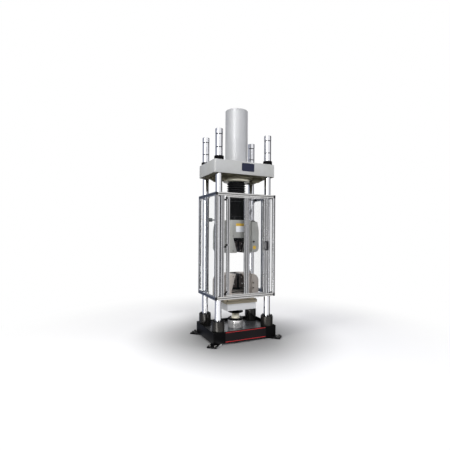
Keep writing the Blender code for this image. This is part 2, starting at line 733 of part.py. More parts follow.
def make_ram():
    """Piston rod, rod adaptor and the bellows between gland and adaptor."""
    piston_radius = CYLINDER_BORE - FIT
    rod = [
        (0, PISTON_BOTTOM + PISTON_THICKNESS),
        (piston_radius, PISTON_BOTTOM + PISTON_THICKNESS),
        (piston_radius, PISTON_BOTTOM),
        (ROD_RADIUS, PISTON_BOTTOM),
        (ROD_RADIUS, ADAPTOR_TOP - ADAPTOR_SOCKET + FIT),
        (0, ADAPTOR_TOP - ADAPTOR_SOCKET + FIT),
    ]
    rod_piece = turned("piston_rod", rod, "chrome", steps=LARGE_STEPS)
    socket = ROD_RADIUS + FIT
    adaptor = [
        (0, ADAPTOR_TOP - ADAPTOR_SOCKET),
        (socket, ADAPTOR_TOP - ADAPTOR_SOCKET),
        (socket, ADAPTOR_TOP),
        (ADAPTOR_RADIUS - ADAPTOR_EDGE, ADAPTOR_TOP),
        (ADAPTOR_RADIUS, ADAPTOR_TOP - ADAPTOR_EDGE),
        (ADAPTOR_RADIUS, ADAPTOR_BOTTOM + ADAPTOR_EDGE),
        (ADAPTOR_RADIUS - ADAPTOR_EDGE, ADAPTOR_BOTTOM),
        (0, ADAPTOR_BOTTOM),
    ]
    adaptor_piece = turned("rod_adaptor", adaptor, "black_paint", steps=LARGE_STEPS)
    band = ring_profile(socket, CLAMP_BAND_RADIUS, ADAPTOR_TOP + FIT, CLAMP_BAND_TOP, COLLAR_EDGE)
    band_piece = turned("bellows_clamp", band, "dark_steel", steps=LARGE_STEPS, ring=True)
    return [rod_piece, adaptor_piece, band_piece, make_bellows()]


def make_bellows():
    """Pleated rubber sleeve round the rod."""
    half_pitch = BELLOWS_HEIGHT / (2 * PLEAT_COUNT)
    profile = []
    for step in range(2 * PLEAT_COUNT + 1):
        radius = BELLOWS_RADIUS if step % 2 else BELLOWS_ROOT_RADIUS
        profile.append((radius, BELLOWS_TOP - step * half_pitch))
    profile += [(BELLOWS_BORE, BELLOWS_BOTTOM), (BELLOWS_BORE, BELLOWS_TOP)]
    return turned("bellows", profile, "bellows_rubber", steps=LARGE_STEPS, ring=True)


def grip_plan():
    """Plan outline of a grip body: a block with its four corners cut off."""
    quarter = [
        (GRIP_HALF_X - GRIP_CORNER_X, GRIP_HALF_Y),
        (GRIP_HALF_X, GRIP_HALF_Y - GRIP_CORNER_Y),
    ]
    right = [(x, -y) for x, y in quarter] + [(x, y) for x, y in reversed(quarter)]
    return right + [(-x, y) for x, y in reversed(right)]


def pocket_half(half, depth):
    """A wedge pocket's half width at its narrow mouth."""
    return half - depth * math.tan(WEDGE_ANGLE)


def cut_pocket(body, name, outline):
    """Cut a wedge pocket into a grip body from the front, up to its back wall."""
    depth = 3 * GRIP_HALF_Y
    cut(body, plate(name, [outline], depth, GRIP_HALF_Y - POCKET_BACK_WALL - depth / 2, "XZ"))


def make_upper_grip():
    """Upper grip: body with its wedge pocket, two side housings and two jaws."""
    middle = UPPER_GRIP_BOTTOM + UPPER_GRIP_HEIGHT / 2
    body = plate("upper_grip_body", [grip_plan()], UPPER_GRIP_HEIGHT, middle, finish_name="grip_grey")
    round_edges(body, GRIP_EDGE)
    ceiling = UPPER_GRIP_BOTTOM + UPPER_POCKET_DEPTH
    below = UPPER_GRIP_BOTTOM - UPPER_POCKET_DEPTH / 4
    mouth = pocket_half(UPPER_POCKET_HALF, ceiling - below)
    pocket = [(-mouth, below), (mouth, below), (UPPER_POCKET_HALF, ceiling), (-UPPER_POCKET_HALF, ceiling)]
    cut_pocket(body, "upper_pocket_cut", pocket)
    pieces = [body]
    bottom = UPPER_GRIP_BOTTOM + JAW_RECESS
    top = bottom + UPPER_JAW_HEIGHT
    housing_top = UPPER_GRIP_TOP - UPPER_HOUSING_INSET
    housing_bottom = UPPER_GRIP_BOTTOM + UPPER_HOUSING_RISE
    for side_name, side in SIDES.items():
        housing = [
            (GRIP_HALF_X + FIT, housing_top, 0),
            (HOUSING_HALF_X - HOUSING_TAPER, housing_top, UPPER_HOUSING_TOP_ROUND),
            (HOUSING_HALF_X, housing_top - HOUSING_TAPER_HEIGHT, 0),
            (HOUSING_HALF_X, housing_bottom, UPPER_HOUSING_BOTTOM_ROUND),
            (GRIP_HALF_X + FIT, housing_bottom, 0),
        ]
        pieces.append(make_housing("upper_housing_" + side_name, housing, side, "grip_grey"))
        make_jaw("upper_jaw_" + side_name, side, bottom, top, ceiling, UPPER_POCKET_HALF, -1)
    return pieces


def make_lower_grip():
    """Lower grip on the load train, its pocket narrow at the top."""
    middle = LOWER_GRIP_BOTTOM + LOWER_GRIP_HEIGHT / 2
    body = plate("lower_grip_body", [grip_plan()], LOWER_GRIP_HEIGHT, middle, finish_name="grip_beige")
    round_edges(body, GRIP_EDGE)
    sill = LOWER_GRIP_TOP - LOWER_POCKET_DEPTH
    above = LOWER_GRIP_TOP + LOWER_POCKET_DEPTH / 4
    mouth = pocket_half(LOWER_POCKET_HALF, above - sill)
    pocket = [(-LOWER_POCKET_HALF, sill), (LOWER_POCKET_HALF, sill), (mouth, above), (-mouth, above)]
    cut_pocket(body, "lower_pocket_cut", pocket)
    top = LOWER_GRIP_TOP - JAW_RECESS
    bottom = top - LOWER_JAW_HEIGHT
    housing_top = LOWER_GRIP_TOP - LOWER_HOUSING_INSET
    housing_bottom = LOWER_GRIP_BOTTOM + LOWER_HOUSING_RISE
    for side_name, side in SIDES.items():
        housing = [
            (GRIP_HALF_X + FIT, housing_top, 0),
            (HOUSING_HALF_X, housing_top, LOWER_HOUSING_TOP_ROUND),
            (HOUSING_HALF_X, housing_bottom, LOWER_HOUSING_BOTTOM_ROUND),
            (GRIP_HALF_X + FIT, housing_bottom, 0),
        ]
        make_housing("lower_housing_" + side_name, housing, side, "grip_beige")
        make_jaw("lower_jaw_" + side_name, side, bottom, top, sill, LOWER_POCKET_HALF, 1)


def make_housing(name, corners, side, finish_name):
    """Side housing of a grip, which holds the cylinder that moves its jaw."""
    outline = rounded([(side * x, z, radius) for x, z, radius in corners])
    housing = plate(name, [outline], 2 * HOUSING_HALF_Y, 0, "XZ", finish_name)
    bevel = round_edges(housing, HOUSING_EDGE)
    bevel.angle_limit = ROUND_SIDE_ANGLE
    return housing


def make_jaw(name, side, bottom, top, wide_level, wide_half, narrowing):
    """Wedge jaw that slides along its pocket's slanted wall."""
    clearance = FIT / math.cos(WEDGE_ANGLE)

    def wall(level):
        drop = narrowing * (level - wide_level)
        return wide_half - drop * math.tan(WEDGE_ANGLE) - clearance

    outline = [
        (side * JAW_HALF_GAP, bottom),
        (side * wall(bottom), bottom),
        (side * wall(top), top),
        (side * JAW_HALF_GAP, top),
    ]
    jaw = plate(name, [outline], 2 * JAW_HALF_Y, 0, "XZ", "jaw_steel")
    round_edges(jaw, JAW_EDGE, 1)
    return jaw


def make_load_train():
    """Load cell and couplings between the base plate and the lower grip."""
    parts = (
        ("load_cell", LOAD_CELL_RADIUS, BASE_PLATE_TOP, LOAD_CELL_TOP, "bright_steel"),
        ("cell_flange", CELL_FLANGE_RADIUS, LOAD_CELL_TOP, CELL_FLANGE_TOP, "black_paint"),
        ("coupling_neck", NECK_RADIUS, CELL_FLANGE_TOP, NECK_TOP, "cream_paint"),
    )
    for name, radius, bottom, top, finish_name in parts:
        profile = rod_profile(radius, bottom + FIT, top, TRAIN_EDGE)
        turned(name, profile, finish_name, steps=LARGE_STEPS)
    disc = [
        (0, HUB_TOP),
        (HUB_RADIUS, HUB_TOP),
        (HUB_RADIUS, DISC_TOP),
        (DISC_RADIUS, DISC_TOP),
        (DISC_RADIUS, NECK_TOP + FIT),
        (0, NECK_TOP + FIT),
    ]
    turned("coupling_disc", disc, "black_paint", steps=LARGE_STEPS)
    block("grip_pedestal", (-PEDESTAL_HALF_X, -PEDESTAL_HALF_Y, HUB_TOP + FIT),
          (PEDESTAL_HALF_X, PEDESTAL_HALF_Y, PEDESTAL_TOP), "off_white", TRAIN_EDGE)
    block("lower_grip_flange", (-GRIP_FLANGE_HALF_X, -GRIP_FLANGE_HALF_Y, PEDESTAL_TOP + FIT),
          (GRIP_FLANGE_HALF_X, GRIP_FLANGE_HALF_Y, GRIP_FLANGE_TOP), "cream_paint", TRAIN_EDGE)


def clamp_levels():
    """Heights of the two column clamps on each side frame."""
    return (GUARD_BOTTOM + COLUMN_CLAMP_INSET, GUARD_TOP - COLUMN_CLAMP_INSET - COLUMN_CLAMP_HEIGHT)


def make_side_frame(side_name, side):
    """Side frame of the guard, clamped to the two columns on its side."""
    name = "guard_side_" + side_name
    half = SIDE_MULLION / 2
    outer = rectangle(GUARD_FRONT, GUARD_REAR, GUARD_BOTTOM, GUARD_TOP)
    front_window = rectangle(GUARD_FRONT + POST_WIDTH, -half, GUARD_SILL, GUARD_HEAD)
    rear_window = rectangle(half, GUARD_REAR - POST_WIDTH, GUARD_SILL, GUARD_HEAD)
    middle = side * (GUARD_HALF_X - PROFILE_DEPTH / 2)
    frame = plate(name, [outer, front_window, rear_window], PROFILE_DEPTH, middle, "YZ", "aluminium")
    for corner, location in column_places():
        if location[0] * side < 0:
            continue
        for level_name, level in zip(("bottom", "top"), clamp_levels()):
            profile = ring_profile(
                COLUMN_RADIUS + FIT, COLUMN_CLAMP_RADIUS, level, level + COLUMN_CLAMP_HEIGHT)
            join(frame, turned(f"clamp_{corner}_{level_name}", profile, None, location, ring=True))
    low_clamp, high_clamp = clamp_levels()
    inner = GUARD_HALF_X - PROFILE_DEPTH - FIT
    edges = sorted((side * inner, side * (inner - PANE_THICKNESS)))
    block("guard_pane_" + side_name,
          (edges[0], GUARD_FRONT + POST_WIDTH - PANE_LAP, low_clamp + COLUMN_CLAMP_HEIGHT + FIT),
          (edges[1], GUARD_REAR - POST_WIDTH + PANE_LAP, high_clamp - FIT), "clear_panel")


def make_front_frame():
    """Front frame of the guard, with the stiles that hold the hinges and the latch keeper."""
    reach = GUARD_HALF_X - PROFILE_DEPTH - FIT
    inside = reach - FRONT_END_STILE
    latch_stile_right = LATCH_STILE_LEFT + LATCH_STILE
    outer = rectangle(-reach, reach, GUARD_BOTTOM, GUARD_TOP)
    windows = [
        rectangle(-inside, HINGE_STILE_RIGHT - HINGE_STILE, GUARD_SILL, GUARD_HEAD),
        rectangle(HINGE_STILE_RIGHT, LATCH_STILE_LEFT, GUARD_SILL, GUARD_HEAD),
        rectangle(latch_stile_right, inside, GUARD_SILL, GUARD_HEAD),
    ]
    middle = GUARD_FRONT + PROFILE_DEPTH / 2
    frame = plate("guard_front", [outer] + windows, PROFILE_DEPTH, middle, "XZ", "aluminium")
    keeper_front = GUARD_FRONT - KEEPER_PROUD
    keeper = block("keeper_shape", (LATCH_STILE_LEFT + HANDLE_INSET, keeper_front, HANDLE_BOTTOM),
                   (latch_stile_right - HANDLE_INSET, middle, HANDLE_TOP))
    join(frame, keeper)


def hinge_axis():
    """Where the door's hinge axis stands."""
    return (HINGE_X, GUARD_FRONT - HINGE_PROUD, 0)


def hinge_heights():
    """Name and middle height of each of the door's hinges."""
    lowest = DOOR_BOTTOM + HINGE_INSET
    step = (DOOR_TOP - DOOR_BOTTOM - 2 * HINGE_INSET) / (len(HINGE_NAMES) - 1)
    return [(name, lowest + index * step) for index, name in enumerate(HINGE_NAMES)]


def make_hinges():
    """Fixed halves of the lift-off hinges, each with its pin standing up."""
    axis = hinge_axis()
    for name, height in hinge_heights():
        bottom = height - HINGE_LENGTH / 2
        top = height + HINGE_LENGTH / 2
        half = [
            (0, top),
            (HINGE_PIN_RADIUS, top),
            (HINGE_PIN_RADIUS, height),
            (KNUCKLE_RADIUS, height),
            (KNUCKLE_RADIUS, bottom),
            (0, bottom),
        ]
        hinge = turned("hinge_" + name, half, "black_paint", axis, HINGE_STEPS)
        back = GUARD_FRONT - FIT
        leaf = block("fixed_leaf_" + name, (HINGE_X - LEAF_REACH, back - LEAF_THICKNESS, bottom),
                     (HINGE_X, back, height))
        join(hinge, leaf)


def make_door():
    """Door of the guard, with its hinge halves, one clear pane and a handle."""
    axis = hinge_axis()
    low = DOOR_BOTTOM + DOOR_RAIL
    high = DOOR_TOP - DOOR_RAIL
    mullion = DOOR_LEFT + DOOR_MULLION_START
    outer = rectangle(DOOR_LEFT, DOOR_RIGHT, DOOR_BOTTOM, DOOR_TOP)
    left = rectangle(DOOR_LEFT + DOOR_STILE, mullion, low, high)
    right = rectangle(mullion + DOOR_MULLION_WIDTH, DOOR_RIGHT - DOOR_STILE, low, high)
    middle = GUARD_FRONT + PROFILE_DEPTH / 2
    door = plate("door_frame", [outer, left, right], PROFILE_DEPTH, middle, "XZ", "aluminium")
    for name, height in hinge_heights():
        bottom = height + FIT
        top = height + HINGE_LENGTH / 2 + FIT
        knuckle = ring_profile(HINGE_PIN_RADIUS + HINGE_PIN_FIT, KNUCKLE_RADIUS, bottom, top)
        sleeve = turned("knuckle_shape_" + name, knuckle, None, axis, HINGE_STEPS, ring=True)
        clear = HINGE_X + (HINGE_PIN_RADIUS + KNUCKLE_RADIUS) / 2
        leaf = block("moving_leaf_" + name, (clear, GUARD_FRONT - LEAF_THICKNESS, bottom),
                     (DOOR_LEFT + LEAF_REACH, GUARD_FRONT + LEAF_THICKNESS, top))
        slot = block("leaf_gap_" + name, (HINGE_X - LEAF_REACH, GUARD_FRONT, bottom - HINGE_LENGTH),
                     (DOOR_LEFT, GUARD_FRONT + PROFILE_DEPTH, top + HINGE_LENGTH))
        cut(leaf, slot)
        join(door, leaf, sleeve)
    inner = GUARD_FRONT + PROFILE_DEPTH + FIT
    pane = block("door_pane", (DOOR_LEFT + DOOR_STILE - PANE_LAP, inner, low - PANE_LAP),
                 (DOOR_RIGHT - DOOR_STILE + PANE_LAP, inner + DOOR_PANE_THICKNESS, high + PANE_LAP),
                 "clear_panel")
    carried_on("door_axis", axis, [door, pane, make_handle()])


def make_handle():
    """Bow handle on the door's latch stile."""
    outer = rectangle(GUARD_FRONT - HANDLE_PROUD, GUARD_FRONT - FIT, HANDLE_BOTTOM, HANDLE_TOP)
    hollow = rectangle(GUARD_FRONT - HANDLE_PROUD + HANDLE_BAR, GUARD_FRONT + HANDLE_PROUD,
                       HANDLE_BOTTOM + HANDLE_BAR, HANDLE_TOP - HANDLE_BAR)
    right = DOOR_RIGHT - HANDLE_INSET
    middle = right - HANDLE_WIDTH / 2
    handle = plate("door_handle", [outer], HANDLE_WIDTH, middle, "YZ", "black_paint")
    cut(handle, plate("handle_hollow", [hollow], 2 * HANDLE_WIDTH, middle, "YZ"))
    return handle


def make_plates():
    """Blank plates on the crosshead and on the base skirt."""
    face = -BEAM_HALF_Y - FIT
    low = BEAM_BOTTOM + NAMEPLATE_RISE
    block("nameplate", (NAMEPLATE_LEFT, face - NAMEPLATE_THICKNESS, low),
          (NAMEPLATE_LEFT + NAMEPLATE_WIDTH, face, low + NAMEPLATE_HEIGHT), "navy_plate")
    face = -BASE_HALF_Y - FIT
    high = SKIRT_TOP - LABEL_BORDER
    block("front_label", (-LABEL_HALF_X, face - LABEL_THICKNESS, high - LABEL_HEIGHT),
          (LABEL_HALF_X, face, high), "label_black")


def make_guard():
    """Guard frames with their clear panes, the hinges and the door."""
    for side_name, side in SIDES.items():
        make_side_frame(side_name, side)
    make_front_frame()
    make_hinges()
    make_door()


def main():
    """Build the whole machine."""
    clear_scene()
    make_base()
    make_columns()
    make_crosshead()
    make_cylinder()
    make_load_train()
    make_lower_grip()
    ram_pieces = make_ram() + make_upper_grip()
    carried_on("ram_axis", (0, 0, ADAPTOR_TOP), ram_pieces)
    make_guard()
    make_plates()
    bpy.context.view_layer.update()
    for obj in machine.objects:
        if obj.type == "MESH":
            settle(obj)


main()
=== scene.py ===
"""Looks of a four-column hydraulic testing machine, built over its fixed frame, in metres, with +Z up."""

import logging
import math
from collections.abc import Callable, Iterable
from dataclasses import dataclass, field
from enum import Enum

import bmesh
import bpy
from mathutils import Matrix, Vector


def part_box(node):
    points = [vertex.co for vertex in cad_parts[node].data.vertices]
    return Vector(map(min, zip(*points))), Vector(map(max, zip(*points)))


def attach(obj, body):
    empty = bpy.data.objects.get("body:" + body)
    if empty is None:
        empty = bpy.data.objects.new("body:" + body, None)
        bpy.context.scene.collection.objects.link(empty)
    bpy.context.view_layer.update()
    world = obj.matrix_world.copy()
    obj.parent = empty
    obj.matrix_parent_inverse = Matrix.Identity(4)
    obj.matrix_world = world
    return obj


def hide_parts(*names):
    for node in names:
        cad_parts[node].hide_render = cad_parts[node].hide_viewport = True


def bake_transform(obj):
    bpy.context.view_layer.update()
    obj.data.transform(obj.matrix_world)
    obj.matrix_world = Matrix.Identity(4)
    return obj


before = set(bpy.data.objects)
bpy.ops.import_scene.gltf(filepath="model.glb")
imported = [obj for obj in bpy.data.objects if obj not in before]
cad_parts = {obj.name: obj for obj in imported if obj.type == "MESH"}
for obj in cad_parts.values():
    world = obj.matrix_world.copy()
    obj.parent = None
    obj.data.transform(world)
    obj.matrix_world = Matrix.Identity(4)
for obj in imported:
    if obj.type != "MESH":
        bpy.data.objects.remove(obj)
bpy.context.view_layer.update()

log = logging.getLogger("testing_machine")

Pair = tuple[float, float]
Outline = list[Pair]
Place = tuple[float, float, float]
Colour = tuple[float, float, float]
Form = bmesh.types.BMesh
Forms = list[tuple[Form, str]]
Tree = bpy.types.NodeTree
Node = bpy.types.Node
Socket = bpy.types.NodeSocket
Feed = Socket | float | tuple

FIT = 0.0003
MERGED = 1e-6
SHARP = math.radians(32)
UP = (0.0, 0.0, 1.0)
FORWARD = (0.0, -1.0, 0.0)
BACKWARD = (0.0, 1.0, 0.0)
RIGHTWARD = (1.0, 0.0, 0.0)
WHITE = (1.0, 1.0, 1.0)
COLOURS = ("Colour", "Stain", "Cover")
VECTORS = ("Heading", "Normal", "Stretch")


class Plane(Enum):
    """Plane that an outline is drawn in, as its first, second and outward axes."""

    XY = (0, 1, 2)
    XZ = (0, 2, 1)
    YZ = (1, 2, 0)

    def place(self, first: float, second: float, outward: float) -> Vector:
        """Point that has these coordinates on the plane's axes.

        Args:
            first: Its coordinate on the first axis.
            second: Its coordinate on the second axis.
            outward: Its coordinate on the outward axis.

        Returns:
            The point.
        """
        spot = Vector()
        for axis, value in zip(self.value, (first, second, outward)):
            spot[axis] = value
        return spot


class Named(Enum):
    """A choice whose name in lower case is part of a node's name."""

    @property
    def word(self) -> str:
        """The choice's name in lower case."""
        return self.name.lower()


class Side(Named):
    """Left or right half of the machine, by the sign of X."""

    LEFT = -1
    RIGHT = 1


class Corner(Named):
    """Corner of the machine where a column stands, by the signs of X and Y."""

    FRONT_LEFT = (-1, -1)
    FRONT_RIGHT = (1, -1)
    REAR_LEFT = (-1, 1)
    REAR_RIGHT = (1, 1)


class Grain(Enum):
    """Fine structure of a surface."""

    PAINT = "paint"
    POWDER = "powder"
    TURNED = "turned"
    DRAWN = "drawn"
    GROUND = "ground"
    RUBBER = "rubber"
    CLEAR = "clear"


# Mesh forms


def soften(
    form: Form, width: float, segments: int = 2,
    chosen: Callable[[bmesh.types.BMEdge], bool] | None = None,
) -> Form:
    """Round the edges of a form where two faces meet at more than the SHARP angle.

    Args:
        form: The mesh to change.
        width: How far the rounding reaches from the edge.
        segments: How many faces make up the rounding.
        chosen: Says of a sharp edge whether it is rounded; all are where this is left out.

    Returns:
        The same form.
    """
    sharp = [e for e in form.edges if len(e.link_faces) == 2 and e.calc_face_angle(0.0) > SHARP]
    bmesh.ops.bevel(
        form, geom=[e for e in sharp if chosen is None or chosen(e)], offset=width, segments=segments,
        profile=0.5, affect="EDGES", material=-1, clamp_overlap=True,
    )
    return form


def level_in(axis: int) -> Callable[[bmesh.types.BMEdge], bool]:
    """Test of an edge that says whether it runs square to an axis, 1 for Y and 2 for Z."""
    return lambda edge: abs(edge.verts[0].co[axis] - edge.verts[1].co[axis]) < FIT


def block(low: Place, high: Place, edge: float = 0.0, segments: int = 2) -> Form:
    """Box between two corners, with rounded edges.

    Args:
        low: Its lowest corner.
        high: Its highest corner.
        edge: Width of the rounding, or 0 for none.
        segments: Faces across the rounding.

    Returns:
        The closed form.
    """
    form = bmesh.new()
    bmesh.ops.create_cube(form, size=1.0)
    bmesh.ops.scale(form, vec=Vector(high) - Vector(low), verts=form.verts)
    bmesh.ops.translate(form, vec=(Vector(high) + Vector(low)) / 2, verts=form.verts)
    return soften(form, edge, segments) if edge else form


def aimed(form: Form, centre: Place, axis: Place) -> Form:
    """Turn a form from +Z to an axis and move it to its centre.

    Args:
        form: The mesh to change.
        centre: Where its own origin goes.
        axis: Direction that its +Z goes to.

    Returns:
        The same form.
    """
    turn = Vector(axis).to_track_quat("Z", "Y").to_matrix().to_4x4()
    bmesh.ops.transform(form, matrix=Matrix.Translation(centre) @ turn, verts=form.verts)
    return form


def turned(
    profile: Outline, centre: Place = (0.0, 0.0, 0.0), steps: int = 64, ring: bool = False,
    axis: Place = UP,
) -> Form:
    """Turn a profile about an axis.

    Args:
        profile: Points as radius and height, from end to end of the outline.
        centre: Where the profile's height 0 is on the axis.
        steps: Faces round the axis.
        ring: Whether the last point joins the first.
        axis: Direction of the axis.

    Returns:
        The closed form.
    """
    form = bmesh.new()
    points = [form.verts.new((radius, 0.0, height)) for radius, height in profile]
    pairs = list(zip(points, points[1:]))
    if ring:
        pairs.append((points[-1], points[0]))
    edges = [form.edges.new(pair) for pair in pairs]
    bmesh.ops.spin(
        form, geom=points + edges, cent=(0, 0, 0), axis=UP, angle=2 * math.pi,
        steps=steps, use_merge=True,
    )
    bmesh.ops.remove_doubles(form, verts=form.verts, dist=MERGED)
    bmesh.ops.recalc_face_normals(form, faces=form.faces)
    return aimed(form, centre, axis)


def prism(outline: Outline, plane: Plane, low: float, high: float) -> Form:
    """Extrude an outline between two levels of its outward axis.

    Args:
        outline: The outline's points in the plane.
        plane: The plane it is drawn in.
        low: Level of its first face.
        high: Level of its last face.

    Returns:
        The closed form.
    """
    form = bmesh.new()
    face = form.faces.new([form.verts.new(plane.place(a, b, low)) for a, b in outline])
    grown = bmesh.ops.extrude_face_region(form, geom=[face])
    moved = [item for item in grown["geom"] if isinstance(item, bmesh.types.BMVert)]
    bmesh.ops.translate(form, vec=plane.place(0.0, 0.0, high - low), verts=moved)
    bmesh.ops.recalc_face_normals(form, faces=form.faces)
    return form


def arc(centre: Pair, radius: float, start: float, end: float, steps: int) -> Outline:
    """Points along an arc, with its angles in degrees."""
    angles = [math.radians(start + (end - start) * step / steps) for step in range(steps + 1)]
    return [(centre[0] + radius * math.cos(a), centre[1] + radius * math.sin(a)) for a in angles]


def top_rim(radius: float, top: float, edge: float, steps: int = 4) -> Outline:
    """Rounded upper rim of a turned profile, from the top down."""
    return arc((radius - edge, top - edge), edge, 90, 0, steps)


def foot_rim(radius: float, bottom: float, edge: float, steps: int = 4) -> Outline:
    """Rounded lower rim of a turned profile, from the top down."""
    return arc((radius - edge, bottom + edge), edge, 0, -90, steps)


def rounded_rectangle(low: Pair, high: Pair, radius: float, steps: int = 6) -> Outline:
    """Outline of a rectangle with round corners.

    Args:
        low: Its lowest corner.
        high: Its highest corner.
        radius: Radius of the corners.
        steps: Faces round each corner.

    Returns:
        The outline's points, anticlockwise.
    """
    left, front, right, back = low[0] + radius, low[1] + radius, high[0] - radius, high[1] - radius
    points = []
    for turn, centre in enumerate(((right, back), (left, back), (left, front), (right, front))):
        points += arc(centre, radius, 90 * turn, 90 * turn + 90, steps)
    return points


def fillet(corners: list[Place], steps: int = 8) -> Outline:
    """Outline through corners that are each rounded by a radius of their own.

    Args:
        corners: Each corner's two coordinates and its radius, which may be 0.
        steps: Faces round each rounded corner.

    Returns:
        The outline's points.
    """
    points: Outline = []
    for index, (x, y, radius) in enumerate(corners):
        if not radius:
            points.append((x, y))
            continue
        here = Vector((x, y))
        before = (Vector(corners[index - 1][:2]) - here).normalized()
        after = (Vector(corners[(index + 1) % len(corners)][:2]) - here).normalized()
        half = before.angle(after) / 2
        centre = here + (before + after).normalized() * (radius / math.sin(half))
        first = here + before * (radius / math.tan(half)) - centre
        swing = first.angle_signed(here + after * (radius / math.tan(half)) - centre)
        for step in range(steps + 1):
            points.append(tuple(centre + Matrix.Rotation(-swing * step / steps, 2) @ first))
    return points


def rod(radius: float, bottom: float, top: float, edge: float = 0.0, steps: int = 3) -> Outline:
    """Profile of a round bar, from its top down.

    Args:
        radius: Radius of the bar.
        bottom: Its lower level.
        top: Its upper level.
        edge: Radius of its rims, or 0 for sharp ones.
        steps: Faces across a rim.

    Returns:
        The profile, open at the axis.
    """
    if not edge:
        return [(0.0, top), (radius, top), (radius, bottom), (0.0, bottom)]
    return tube(0.0, radius, bottom, top, edge, steps)


def tube(bore: float, radius: float, bottom: float, top: float, edge: float, steps: int = 3) -> Outline:
    """Profile of a round tube with rounded outer rims, from its inner top down."""
    rims = top_rim(radius, top, edge, steps) + foot_rim(radius, bottom, edge, steps)
    return [(bore, top), *rims, (bore, bottom)]


def carve(form: Form, cutters: Iterable[Form]) -> Form:
    """Cut forms out of a form.

    Args:
        form: The closed form to cut, which is freed.
        cutters: Closed forms to take away, which are freed.

    Returns:
        The form that is left.
    """
    body = loose_object("carved", form)
    tools = [loose_object("cutter", cutter) for cutter in cutters]
    for tool in tools:
        cut = body.modifiers.new("cut", "BOOLEAN")
        cut.operation = "DIFFERENCE"
        cut.solver = "EXACT"
        cut.object = tool
    bpy.context.view_layer.update()
    held = body.evaluated_get(bpy.context.evaluated_depsgraph_get())
    left = bmesh.new()
    left.from_mesh(held.to_mesh())
    held.to_mesh_clear()
    for thing in [body, *tools]:
        mesh = thing.data
        bpy.data.objects.remove(thing)
        bpy.data.meshes.remove(mesh)
    bmesh.ops.remove_doubles(left, verts=left.verts, dist=MERGED)
    return left


def loose_object(name: str, form: Form) -> bpy.types.Object:
    """Object that holds a form's mesh, at the origin.

    Args:
        name: The object's name.
        form: The mesh, which is freed.

    Returns:
        The object.
    """
    mesh = bpy.data.meshes.new(name)
    form.to_mesh(mesh)
    form.free()
    made = bpy.data.objects.new(name, mesh)
    bpy.context.scene.collection.objects.link(made)
    return made


def cap_screw(centre: Place, radius: float, height: float, axis: Place = UP, steps: int = 16) -> Form:
    """Socket-head screw whose head stands on a surface.

    Args:
        centre: Foot of the head on the surface.
        radius: Radius of the head.
        height: Height of the head.
        axis: Direction that the head points in.
        steps: Faces round the head.

    Returns:
        The closed form.
    """
    socket, floor = radius * 0.5, height * 0.45
    rim = top_rim(radius, height, radius * 0.14, 2)
    profile = [(0.0, floor), (socket, floor), (socket, height), *rim, (radius, 0.0), (0.0, 0.0)]
    return turned(profile, centre, steps, axis=axis)


def hex_bolt(centre: Place, radius: float, height: float, axis: Place = UP) -> Form:
    """Hexagon head that stands on a surface, with its corners chamfered."""
    form = turned(rod(radius, 0.0, height), steps=6)
    return aimed(soften(form, radius * 0.08, 1), centre, axis)


def circle_places(radius: float, count: int, start: float = 0.0) -> list[Pair]:
    """Evenly spaced places round a circle, with the first at an angle in degrees."""
    angles = [math.radians(start) + 2 * math.pi * index / count for index in range(count)]
    return [(radius * math.cos(a), radius * math.sin(a)) for a in angles]


def upright(name: str) -> tuple[Place, float]:
    """Centre, at height 0, and radius of a round node that stands upright."""
    low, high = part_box(name)
    return ((low.x + high.x) / 2, (low.y + high.y) / 2, 0.0), (high.x - low.x) / 2


# Finishes


